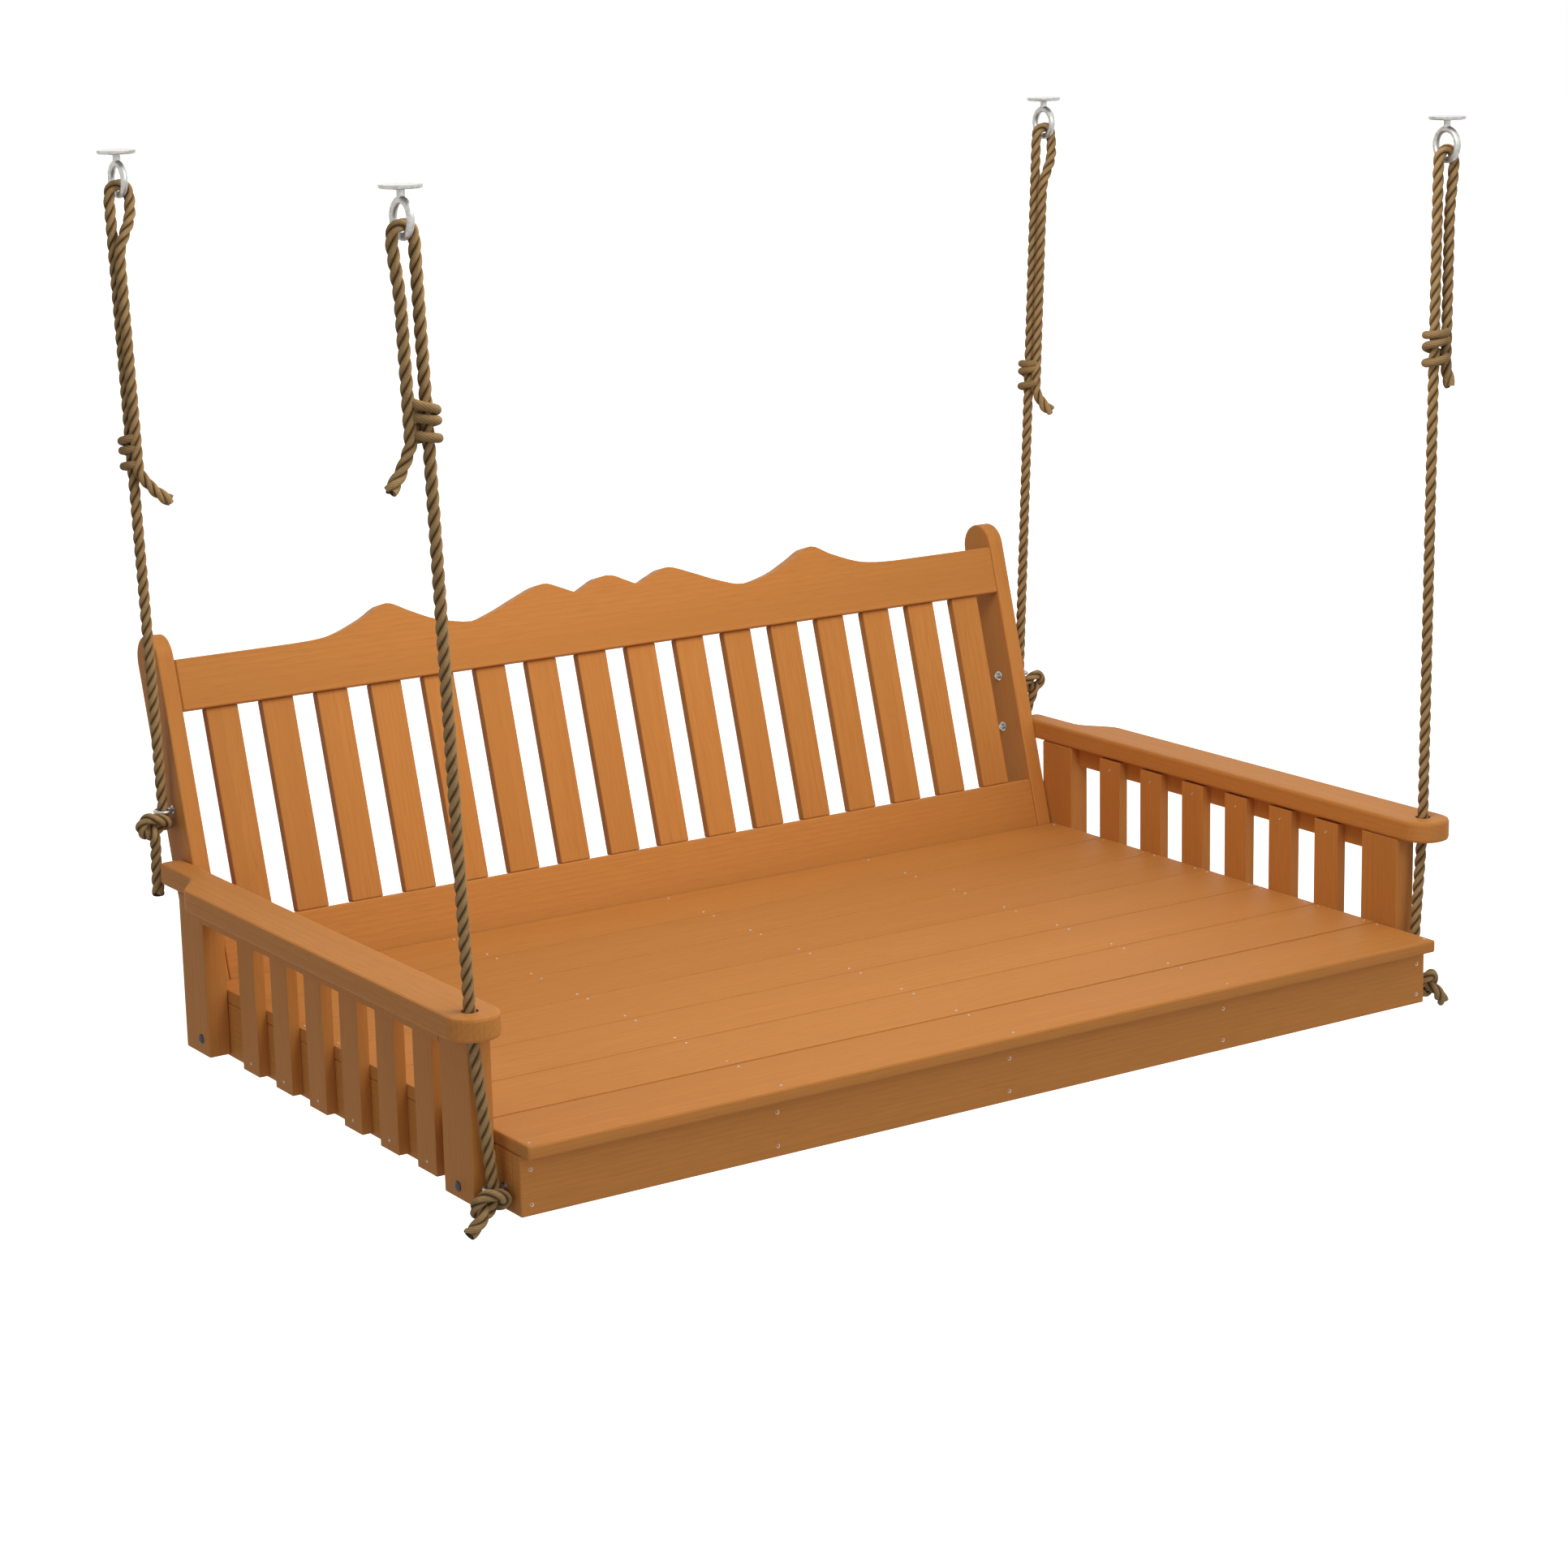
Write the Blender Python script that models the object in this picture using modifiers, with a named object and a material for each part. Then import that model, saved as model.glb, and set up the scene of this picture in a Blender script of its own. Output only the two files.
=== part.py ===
"""Hanging porch swing bed: a slatted timber bench on four hitched ropes, in metres with +Z up.

The origin is at the ceiling plane, in the middle of the four ceiling eyes. +X runs along the seat and +Y
from the front edge to the back. The bench is drawn in its own frame, whose origin is the middle of the
front apron's lower edge, and hangs from the ropes as the joints have it at rest.
"""

from math import cos, pi, radians, sin

import bmesh
import bpy
from mathutils import Vector

# Seat
SEAT_LENGTH = 1.830
DECK_TOP = 0.120
DECK_THICKNESS = 0.0225
DECK_OVERHANG = 0.0275
DECK_BOARDS = 7
BOARD_GAP = 0.002
RAIL_THICKNESS = 0.038
APRON_THICKNESS = 0.025
JOIST_SPACING = 0.4535
BACK_FACE_Y = 1.0664

# Arms
ARM_TOP = 0.319
ARM_THICKNESS = 0.0375
ARM_WIDTH = 0.089
ARM_FRONT_Y = 0.009
ARM_REAR_Y = BACK_FACE_Y + 0.0986
ARM_TAIL_WIDTH = 0.0445
ARM_NECK_Y = (BACK_FACE_Y - 0.1114, BACK_FACE_Y - 0.0214)
ARM_HOLE_CLEARANCE = 0.004
ARM_POST_WIDTH = 0.092
ARM_POST_THICKNESS = 0.040
ARM_POST_FRONTS = {"front": 0.074, "rear": BACK_FACE_Y - 0.0634}
ARM_POST_BOTTOM = 0.005
ARM_SLATS = 6
ARM_SLAT_END_GAPS = (0.063, 0.0889)
ARM_STRIP_HEIGHT = 0.038

# Back
RECLINE = 15.7
BACK_POST_THICKNESS = 0.032
BACK_POST_WIDTH = 0.088
BACK_POST_TOP = 0.610
BACK_POST_BOTTOM = -0.112
BACK_RAIL_BOTTOM = -0.006
BACK_RAIL_HEIGHT = 0.098
TOP_RAIL_BOTTOM = 0.469
TOP_RAIL_TOP = 0.5595
BACK_SLATS = 16
SLAT_WIDTH = 0.0615
SLAT_THICKNESS = 0.019
SLAT_RECESS = 0.010

# Crest of the top rail: its peaks, dips and flanks, as distance from the middle and height above the rail's
# ends, in millimetres.
CREST = (
    (0, 46), (18, 43), (42, 32), (68, 23), (102, 36), (136, 46), (185, 30), (240, 9),
    (295, -4), (365, 9), (415, 30), (460, 49), (505, 29), (560, 9), (605, 2), (650, 0),
)
CREST_STEPS = 4

# Ropes and their fittings
ROPE = 0.019
CEILING = 1.535
EYE_BAR_DROP = 0.074
CEILING_WIRE = 0.006
LOOP_RADIUS = ROPE / 2 + CEILING_WIRE + 0.0025
EYE_WIRE = 0.0035
EYE_CLEARANCE = 0.001
EYE_RADIUS = ROPE / 2 + EYE_WIRE + EYE_CLEARANCE
ROPE_HOLE = (SEAT_LENGTH / 2 + 0.0435, 0.056)
REAR_EYE_HEIGHT = 0.305
# How far out and back each ceiling ring stands from the fitting under it.
FRONT_LEAN = (0.0255, 0.0206)
REAR_LEAN = (0.0365, -0.0165)
# How far each knot's solid stands past the rope's own radius.
FRONT_KNOT = (0.0135, 0.0130, 0.0125)
REAR_KNOT = (0.0195, 0.0165, 0.0105)
KNOT_CLEARANCE = 0.0015
FRONT_EYE = (
    SEAT_LENGTH / 2 + EYE_RADIUS + EYE_WIRE + EYE_CLEARANCE,
    ARM_POST_FRONTS["front"] - KNOT_CLEARANCE - ROPE / 2 - FRONT_KNOT[1],
    0.037,
)
FRONT_TAIL = (0.050, -0.014, -0.030)
REAR_TAIL = (0.004, 0.003, -0.130)
STRAND = 0.013
LASH_SINK = 0.001
TWIST_RUN = 0.10
# For each upper rope: which side of it the ceiling eye is on, the direction in degrees of its returning
# strand and the gap to it at the hitch, the hitch's height, how far its first turn slants, how far its
# turns drop, and its tail's run.
HITCHES = {
    ("front", -1): (-1, 180, 0.0100, 1.212, 0.016, 0.040, (-0.039, -0.004, -0.062)),
    ("front", 1): (1, 0, 0.0095, 1.167, 0.004, 0.049, (0.008, -0.004, -0.034)),
    ("rear", -1): (1, -85, 0.0008, 1.046, 0.014, 0.042, (0.052, -0.006, -0.052)),
    ("rear", 1): (1, -80, 0.0008, 1.020, 0.004, 0.046, (0.029, -0.011, -0.040)),
}

GAP = 0.0003
EDGE = 0.0022
SIDES = {"left": -1, "right": 1}
COLORS = {
    "stained_wood": ((0.49, 0.20, 0.05), 0.55, 0.0),
    "natural_rope": ((0.29, 0.19, 0.09), 0.9, 0.0),
    "zinc_steel": ((0.55, 0.55, 0.54), 0.4, 1.0),
}


def collection(name, hidden=False):
    made = bpy.data.collections.new(name)
    made.hide_render = hidden
    bpy.context.scene.collection.children.link(made)
    return made


def material(name):
    color, roughness, metallic = COLORS[name]
    made = bpy.data.materials.new(name)
    made.use_nodes = True
    shader = made.node_tree.nodes["Principled BSDF"]
    shader.inputs["Base Color"].default_value = (*color, 1.0)
    shader.inputs["Roughness"].default_value = roughness
    shader.inputs["Metallic"].default_value = metallic
    return made


def empty(name, location, parent=None, tilt=0.0):
    made = bpy.data.objects.new(name, None)
    made.empty_display_size = 0.05
    made.location = location
    made.rotation_euler = (tilt, 0, 0)
    made.parent = parent
    group.objects.link(made)
    return made


def add(name, data, slot, parent, location=(0, 0, 0)):
    """Links one named piece with its material."""
    data.materials.clear()
    data.materials.append(materials[slot])
    made = bpy.data.objects.new(name, data)
    made.location = location
    made.parent = parent
    group.objects.link(made)
    return made


def helper(name, data, parent, location=(0, 0, 0)):
    """Links a shape that only cuts or joins another one."""
    made = bpy.data.objects.new(name, data)
    made.location = location
    made.parent = parent
    made.display_type = "WIRE"
    made.hide_render = True
    cutters.objects.link(made)
    return made


def mesh(name, shape):
    bmesh.ops.recalc_face_normals(shape, faces=shape.faces)
    data = bpy.data.meshes.new(name)
    shape.to_mesh(data)
    shape.free()
    return data


def soften(obj, width=EDGE, segments=2):
    bevel = obj.modifiers.new("eased edges", "BEVEL")
    bevel.width = width
    bevel.segments = segments
    bevel.limit_method = "ANGLE"
    bevel.angle_limit = radians(40)
    bevel.harden_normals = False


def boolean(obj, tool, operation):
    step = obj.modifiers.new(tool.name, "BOOLEAN")
    step.operation = operation
    step.solver = "EXACT"
    step.object = tool


def board(name, low, high, parent, edge=EDGE):
    """A timber block between two corners, with its origin in its middle."""
    low = Vector(low)
    high = Vector(high)
    shape = bmesh.new()
    bmesh.ops.create_cube(shape, size=1.0)
    bmesh.ops.scale(shape, vec=high - low, verts=shape.verts)
    made = add(name, mesh(name, shape), "stained_wood", parent, (low + high) / 2)
    soften(made, edge)
    return made


def outline_board(name, outline, thickness, parent, location, edge=EDGE, segments=2):
    """A timber piece sawn to an outline of 3-D points and as thick as the given vector."""
    shape = bmesh.new()
    face = shape.faces.new([shape.verts.new(point) for point in outline])
    raised = bmesh.ops.extrude_face_region(shape, geom=[face])["geom"]
    moved = [item for item in raised if isinstance(item, bmesh.types.BMVert)]
    bmesh.ops.translate(shape, vec=thickness, verts=moved)
    made = add(name, mesh(name, shape), "stained_wood", parent, location)
    soften(made, edge, segments)
    return made


def rod(name, radius, start, end, segments=16):
    """A cylinder mesh between two points."""
    start = Vector(start)
    run = Vector(end) - start
    shape = bmesh.new()
    bmesh.ops.create_cone(
        shape, cap_ends=True, segments=segments, radius1=radius, radius2=radius, depth=run.length
    )
    turn = Vector((0, 0, 1)).rotation_difference(run).to_matrix().to_4x4()
    bmesh.ops.transform(shape, matrix=turn, verts=shape.verts)
    bmesh.ops.translate(shape, vec=start + run / 2, verts=shape.verts)
    return mesh(name, shape)


def tube_curve(name, points, radius, cyclic=False, resolution=2):
    """A round tube along a run of points."""
    data = bpy.data.curves.new(name, "CURVE")
    data.dimensions = "3D"
    data.bevel_depth = radius
    data.bevel_resolution = resolution
    data.use_fill_caps = not cyclic
    spline = data.splines.new("POLY")
    spline.points.add(len(points) - 1)
    for place, point in zip(spline.points, points):
        place.co = (*point, 1.0)
    spline.use_cyclic_u = cyclic
    return data


def tube_mesh(name, points, radius, cyclic=False, resolution=2):
    """The same tube as a closed mesh, for Boolean steps."""
    guide = helper(name + "_guide", tube_curve(name, points, radius, cyclic, resolution), None)
    bpy.context.view_layer.update()
    data = bpy.data.meshes.new_from_object(guide.evaluated_get(bpy.context.evaluated_depsgraph_get()))
    bpy.data.objects.remove(guide)
    shape = bmesh.new()
    shape.from_mesh(data)
    bpy.data.meshes.remove(data)
    bmesh.ops.remove_doubles(shape, verts=shape.verts, dist=0.000001)
    return mesh(name, shape)


def circle(center, across, up, radius, start=0.0, turn=2 * pi, steps=20):
    """Points round an arc whose plane holds the two given directions."""
    angles = [start + turn * step / steps for step in range(steps + 1)]
    return [Vector(center) + radius * (Vector(across) * cos(a) + Vector(up) * sin(a)) for a in angles]


def smooth(points, steps):
    """A Catmull-Rom run through the points."""
    ends = [2 * points[0] - points[1], *points, 2 * points[-1] - points[-2]]
    run = [points[0]]
    for a, b, c, d in zip(ends, ends[1:], ends[2:], ends[3:]):
        for step in range(1, steps + 1):
            t = step / steps
            square = (2 * a - 5 * b + 4 * c - d) * t**2
            cube = (3 * b - a - 3 * c + d) * t**3
            run.append(0.5 * (2 * b + (c - a) * t + square + cube))
    return run


def seat():
    half = SEAT_LENGTH / 2
    under = DECK_TOP - DECK_THICKNESS - GAP
    rear = BACK_FACE_Y - DECK_TOP * sin(radians(RECLINE)) - 0.004
    inner = half - RAIL_THICKNESS - GAP
    board("front_apron", (-half, 0, 0), (half, APRON_THICKNESS, under), bench)
    board("rear_frame_rail", (-inner, rear - RAIL_THICKNESS, 0), (inner, rear, under), bench)
    for name, side in SIDES.items():
        ends = sorted((side * (half - RAIL_THICKNESS), side * half))
        rail = board(
            name + "_side_rail", (ends[0], APRON_THICKNESS + GAP, 0), (ends[1], rear, under), bench
        )
        center = Vector((side * FRONT_EYE[0], FRONT_EYE[1], FRONT_EYE[2])) - rail.location
        hole = rod(name + "_eye_hole", EYE_WIRE + GAP, center, center - Vector((side * 0.1, 0, 0)))
        boolean(rail, helper(name + "_eye_hole", hole, bench, rail.location), "DIFFERENCE")
    for name, spot in (("left", -JOIST_SPACING), ("middle", 0), ("right", JOIST_SPACING)):
        board(
            name + "_joist",
            (spot - RAIL_THICKNESS / 2, APRON_THICKNESS + GAP, 0.008),
            (spot + RAIL_THICKNESS / 2, rear - RAIL_THICKNESS - GAP, under),
            bench,
        )
    back_edge = BACK_FACE_Y - DECK_THICKNESS * sin(radians(RECLINE)) / cos(radians(RECLINE)) - 0.0006
    pitch = (back_edge + DECK_OVERHANG + BOARD_GAP) / DECK_BOARDS
    for number in range(DECK_BOARDS):
        front = -DECK_OVERHANG + number * pitch
        board(
            f"deck_board_{number + 1}",
            (-half, front, DECK_TOP - DECK_THICKNESS),
            (half, front + pitch - BOARD_GAP, DECK_TOP),
            bench,
            0.004 if number == 0 else 0.0016,
        )


def arm_outline(side):
    """The arm seen from above: round front end, straight inner edge, outer edge narrowed to the rear."""
    inner = SEAT_LENGTH / 2 - 0.0017
    radius = ARM_WIDTH / 2
    nose = circle((inner + radius, ARM_FRONT_Y + radius, 0), (-1, 0, 0), (0, -1, 0), radius, 0, pi, 16)
    start, end = ARM_NECK_Y
    neck = []
    for step in range(13):
        t = step / 12
        drop = (ARM_WIDTH - ARM_TAIL_WIDTH) * (1 - cos(pi * t)) / 2
        neck.append(Vector((inner + ARM_WIDTH - drop, start + (end - start) * t, 0)))
    corner = Vector((inner + ARM_TAIL_WIDTH - 0.012, ARM_REAR_Y - 0.012, 0))
    tail = circle(corner, (1, 0, 0), (0, 1, 0), 0.012, 0, pi / 2, 4)
    points = [*nose, *neck, *tail, Vector((inner, ARM_REAR_Y, 0))]
    return [Vector((side * point.x, point.y, 0)) for point in points]


def arm(name, side):
    half = SEAT_LENGTH / 2
    under = ARM_TOP - ARM_THICKNESS
    top = outline_board(
        name + "_arm", arm_outline(side), Vector((0, 0, ARM_THICKNESS)), bench, (0, 0, under), 0.005
    )
    low = Vector((side * ROPE_HOLE[0], ROPE_HOLE[1], -0.01))
    hole = rod(name + "_rope_hole", ROPE / 2 + ARM_HOLE_CLEARANCE, low, low + Vector((0, 0, 0.06)), 32)
    boolean(top, helper(name + "_rope_hole", hole, bench, top.location), "DIFFERENCE")
    faces = sorted((side * (half + GAP), side * (half + ARM_POST_THICKNESS)))
    for spot, front in ARM_POST_FRONTS.items():
        board(
            f"{name}_{spot}_arm_post",
            (faces[0], front, ARM_POST_BOTTOM),
            (faces[1], front + ARM_POST_WIDTH, under - GAP),
            bench,
        )
    panel(name, side, under - GAP)


def panel(name, side, top):
    """The arm's slats, nailed to one strip under the arm and here one solid with it."""
    inner = SEAT_LENGTH / 2 + GAP
    middle = inner + SLAT_THICKNESS
    outer = SEAT_LENGTH / 2 + ARM_POST_THICKNESS
    front = ARM_POST_FRONTS["front"] + ARM_POST_WIDTH + GAP
    rear = ARM_POST_FRONTS["rear"] - GAP
    first_gap, last_gap = ARM_SLAT_END_GAPS
    pitch = (rear - front - first_gap - last_gap - SLAT_WIDTH) / (ARM_SLATS - 1)
    ends = sorted((side * (middle - 0.0005), side * outer))
    strip = board(name + "_arm_slats", (ends[0], front, top - ARM_STRIP_HEIGHT), (ends[1], rear, top), bench)
    strip.modifiers.clear()
    for number in range(ARM_SLATS):
        start = front + first_gap + number * pitch
        faces = sorted((side * inner, side * middle))
        shape = bmesh.new()
        bmesh.ops.create_cube(shape, size=1.0)
        size = Vector((faces[1] - faces[0], SLAT_WIDTH, top - 0.003 - ARM_POST_BOTTOM))
        bmesh.ops.scale(shape, vec=size, verts=shape.verts)
        middle_height = (top - 0.003 + ARM_POST_BOTTOM) / 2
        center = Vector(((faces[0] + faces[1]) / 2, start + SLAT_WIDTH / 2, middle_height))
        title = f"{name}_slat_{number + 1}"
        boolean(strip, helper(title, mesh(title, shape), bench, center), "UNION")
    soften(strip, 0.0018, 1)


def back():
    half = SEAT_LENGTH / 2
    outer = half - 0.002
    inner = outer - BACK_POST_THICKNESS
    radius = BACK_POST_WIDTH / 2
    for name, side in SIDES.items():
        crown = circle((0, radius, BACK_POST_TOP - radius), (0, 1, 0), (0, 0, 1), radius, 0, pi, 20)
        outline = [Vector((0, 0, BACK_POST_BOTTOM)), Vector((0, BACK_POST_WIDTH, BACK_POST_BOTTOM)), *crown]
        post = outline_board(
            name + "_back_post",
            outline,
            Vector((side * BACK_POST_THICKNESS, 0, 0)),
            tilted,
            (side * inner, 0, 0),
            0.003,
        )
        center = Vector((0, radius, REAR_EYE_HEIGHT))
        reach = Vector((side * 0.1, 0, 0))
        hole = rod(name + "_post_hole", EYE_WIRE + GAP, center - reach, center + reach)
        boolean(post, helper(name + "_post_hole", hole, tilted, post.location), "DIFFERENCE")
    end = inner - GAP
    board(
        "back_bottom_rail",
        (-end, 0, BACK_RAIL_BOTTOM),
        (end, RAIL_THICKNESS, BACK_RAIL_BOTTOM + BACK_RAIL_HEIGHT),
        tilted,
        0.003,
    )
    crest = smooth([Vector((x / 1000, 0, TOP_RAIL_TOP + h / 1000)) for x, h in CREST], CREST_STEPS)
    rise = [*crest, Vector((end, 0, TOP_RAIL_TOP))]
    mirrored = [Vector((-point.x, 0, point.z)) for point in reversed(rise[1:])]
    base = [Vector((end, 0, TOP_RAIL_BOTTOM)), Vector((-end, 0, TOP_RAIL_BOTTOM))]
    outline = [*base, *mirrored, *rise]
    outline_board("back_top_rail", outline, Vector((0, RAIL_THICKNESS, 0)), tilted, (0, 0, 0), EDGE, 1)
    low = BACK_RAIL_BOTTOM + BACK_RAIL_HEIGHT + GAP
    space = (2 * end - BACK_SLATS * SLAT_WIDTH) / (BACK_SLATS + 1)
    for number in range(BACK_SLATS):
        start = -end + space + number * (space + SLAT_WIDTH)
        board(
            f"back_slat_{number + 1:02d}",
            (start, SLAT_RECESS, low),
            (start + SLAT_WIDTH, SLAT_RECESS + SLAT_THICKNESS, TOP_RAIL_BOTTOM - GAP),
            tilted,
        )


def bench_point(x, y, z):
    """A point of the bench's frame in the world."""
    return Vector((x, y - HOOK_MIDDLE, z - CEILING))


def rear_eye(side):
    """The middle of the rear eye's ring, in the bench's frame."""
    tilt = radians(RECLINE)
    depth = BACK_POST_WIDTH / 2
    y = BACK_FACE_Y + REAR_EYE_HEIGHT * sin(tilt) + depth * cos(tilt)
    z = DECK_TOP + REAR_EYE_HEIGHT * cos(tilt) - depth * sin(tilt)
    return Vector((side * (SEAT_LENGTH / 2 - 0.002 + EYE_RADIUS + EYE_WIRE + EYE_CLEARANCE), y, z))


def eye_bolt(name, side, center, length):
    """A steel ring lying flat, with its shank through the timber beside it."""
    ring = tube_mesh(name, circle((0, 0, 0), (1, 0, 0), (0, 1, 0), EYE_RADIUS)[:-1], EYE_WIRE, True)
    made = add(name, ring, "zinc_steel", bench, center)
    inward = Vector((-side, 0, 0))
    shank = rod(name + "_shank", EYE_WIRE - GAP, inward * EYE_RADIUS, inward * (EYE_RADIUS + length))
    boolean(made, helper(name + "_shank", shank, bench, center), "UNION")


def ceiling_eye(name, spot):
    """A plate under the ceiling with a ring that the rope's loop hangs in."""
    radius = 0.026
    plate = rod(name, 0.032, (0, 0, -0.006), (0, 0, 0), 24)
    made = add(name, plate, "zinc_steel", None, (spot.x, spot.y, 0))
    soften(made, 0.0015, 1)
    ring_center = Vector((0, 0, -EYE_BAR_DROP + radius))
    around = circle(ring_center, (0, 1, 0), (0, 0, 1), radius)[:-1]
    ring = tube_mesh(name + "_ring", around, CEILING_WIRE, True)
    boolean(made, helper(name + "_ring", ring, None, made.location), "UNION")
    stem = rod(name + "_stem", CEILING_WIRE, (0, 0, -0.018), (0, 0, -0.004))
    boolean(made, helper(name + "_stem", stem, None, made.location), "UNION")


def upper_rope(name, parent, low, top, hitch):
    """One rope up over its ceiling eye and down beside itself, lashed to itself with one strand."""
    side, turn, between, height, slant, drop, tail = hitch
    gap = ROPE + between
    rise = top - low
    bar = top + Vector((side * LOOP_RADIUS, 0, 0))
    start = height - CEILING
    bottom = start - drop - STRAND / 2

    def axis(z):
        return low + rise * ((z - low.z) / rise.z)

    standing = [low + rise * (step / 22) for step in range(22)]
    loop = circle(bar, (-side, 0, 0), (0, 0, 1), LOOP_RADIUS, 0, pi, 8)
    eye_turn = 90 - 90 * side
    beside = []
    for step in range(1, 25):
        z = bar.z + (bottom - bar.z) * step / 24
        t = min(1.0, (bar.z - z) / TWIST_RUN)
        eased = t * t * (3 - 2 * t)
        angle = radians(eye_turn + (turn - eye_turn) * eased)
        reach = 2 * LOOP_RADIUS + (gap - 2 * LOOP_RADIUS) * eased
        beside.append(axis(z) + reach * Vector((cos(angle), sin(angle), 0)))
    last = beside[-1]
    end = last + Vector(tail)
    tail_run = smooth([last, last.lerp(end, 0.5) + Vector((0, 0, -0.006)), end], 3)[1:]
    points = [point - parent.location for point in [*standing, *loop, *beside, *tail_run]]
    rope = add(name, tube_mesh(name, points, ROPE / 2), "natural_rope", parent)

    along = Vector((cos(radians(turn)), sin(radians(turn)), 0))
    over = along.cross(Vector((0, 0, 1)))
    over *= -1 if over.y > 0 else 1
    far = ROPE / 2 + STRAND / 2 - LASH_SINK
    heights = [slant, 0, -0.2 * drop, -0.4 * drop, -0.65 * drop, -drop, -drop]
    turns = []
    for step in range(37):
        half = min(step // 6, 5)
        level = start + heights[half] + (heights[half + 1] - heights[half]) * (step / 6 - half)
        angle = pi * step / 6
        reach = along * ((gap - far) / 2 + (gap + far) / 2 * cos(angle)) + over * far * sin(angle)
        turns.append(axis(level) + reach - parent.location)
    lashing = tube_mesh(name + "_lashing", turns, STRAND / 2)
    boolean(rope, helper(name + "_lashing", lashing, parent), "UNION")


def knot(name, side, eye, top, tail, size, shift):
    """The stopper knot under an eye, with the rope above it and its tail, as one plain solid."""
    size = [ROPE / 2 + beyond for beyond in size]
    center = eye + Vector((side * shift, 0, -EYE_WIRE - 0.0008 - size[2]))
    shape = bmesh.new()
    bmesh.ops.create_uvsphere(shape, u_segments=16, v_segments=10, radius=1.0)
    bmesh.ops.scale(shape, vec=size, verts=shape.verts)
    made = add(name, mesh(name, shape), "natural_rope", bench, center)
    rise = [Vector((-side * shift, 0, 0.2 * size[2])), eye - center + Vector((0, 0, EYE_WIRE)), top - center]
    above = tube_mesh(name + "_above", rise, ROPE / 2)
    boolean(made, helper(name + "_above", above, bench, center), "UNION")
    end = Vector((side * tail[0], tail[1], tail[2]))
    ends = [Vector((0, 0, 0)), end * 0.5 + Vector((0, 0, 0.003)), end]
    below = tube_mesh(name + "_tail", smooth(ends, 3), ROPE / 2)
    boolean(made, helper(name + "_tail", below, bench, center), "UNION")


def hanging():
    for name, side in SIDES.items():
        front_low = bench_point(side * ROPE_HOLE[0], ROPE_HOLE[1], ARM_TOP + 0.004)
        front_top = bench_point(side * FRONT_HOOK[0], FRONT_HOOK[1], CEILING - EYE_BAR_DROP)
        ring = rear_eye(side)
        rear_low = bench_point(ring.x, ring.y, ring.z + 0.0150)
        rear_top = bench_point(side * REAR_HOOK[0], REAR_HOOK[1], CEILING - EYE_BAR_DROP)
        runs = (("front", front_axis, front_low, front_top), ("rear", rear_axis, rear_low, rear_top))
        for spot, parent, low, top in runs:
            hitch = HITCHES[spot, side]
            upper_rope(f"{spot}_{name}_rope", parent, low, top, hitch)
            ceiling_eye(f"{spot}_{name}_ceiling_eye", top + Vector((hitch[0] * LOOP_RADIUS, 0, 0)))
        front_eye = Vector((side * FRONT_EYE[0], FRONT_EYE[1], FRONT_EYE[2]))
        eye_bolt(f"front_{name}_eye_bolt", side, front_eye, RAIL_THICKNESS - 0.004)
        eye_bolt(f"rear_{name}_eye_bolt", side, ring, BACK_POST_THICKNESS + 0.014)
        hole = Vector((side * ROPE_HOLE[0], ROPE_HOLE[1], ARM_TOP - 0.004))
        stub = ring + Vector((0, 0, 2 * EYE_WIRE))
        knot(f"front_{name}_lower_rope", side, front_eye, hole, FRONT_TAIL, FRONT_KNOT, 0.006)
        knot(f"rear_{name}_knot", side, ring, stub, REAR_TAIL, REAR_KNOT, 0.0125)


for old in list(bpy.data.objects):
    bpy.data.objects.remove(old)
group = collection("porch_swing")
cutters = collection("cutters", hidden=True)
materials = {slot: material(slot) for slot in COLORS}
FRONT_HOOK = (ROPE_HOLE[0] + FRONT_LEAN[0], ROPE_HOLE[1] + FRONT_LEAN[1])
REAR_HOOK = (rear_eye(1).x + REAR_LEAN[0], rear_eye(1).y + REAR_LEAN[1])
HOOK_MIDDLE = (FRONT_HOOK[1] + REAR_HOOK[1]) / 2
front_axis = empty("front_rope_axis", bench_point(0, FRONT_HOOK[1], CEILING - EYE_BAR_DROP))
rear_axis = empty("rear_rope_axis", bench_point(0, REAR_HOOK[1], CEILING - EYE_BAR_DROP))
bench_axis = empty("bench_axis", bench_point(0, ROPE_HOLE[1], ARM_TOP) - front_axis.location, front_axis)
bench = empty("bench", (0, -ROPE_HOLE[1], -ARM_TOP), bench_axis)
tilted = empty("back_frame", (0, BACK_FACE_Y, DECK_TOP), bench, -radians(RECLINE))
seat()
for label, sign in SIDES.items():
    arm(label, sign)
back()
hanging()
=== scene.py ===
"""Looks of a rope-hung porch swing: stained timber, laid rope, its fastenings, and a plain studio round it.

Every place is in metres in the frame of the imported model, whose origin is at the ceiling, +X along the seat
and -Y towards its front.
"""

from math import ceil, cos, pi, radians, sin

import bmesh
import bpy
import numpy as np
from bpy.props import FloatProperty, FloatVectorProperty, IntProperty, PointerProperty
from mathutils import Matrix, Vector
from mathutils.kdtree import KDTree


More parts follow.
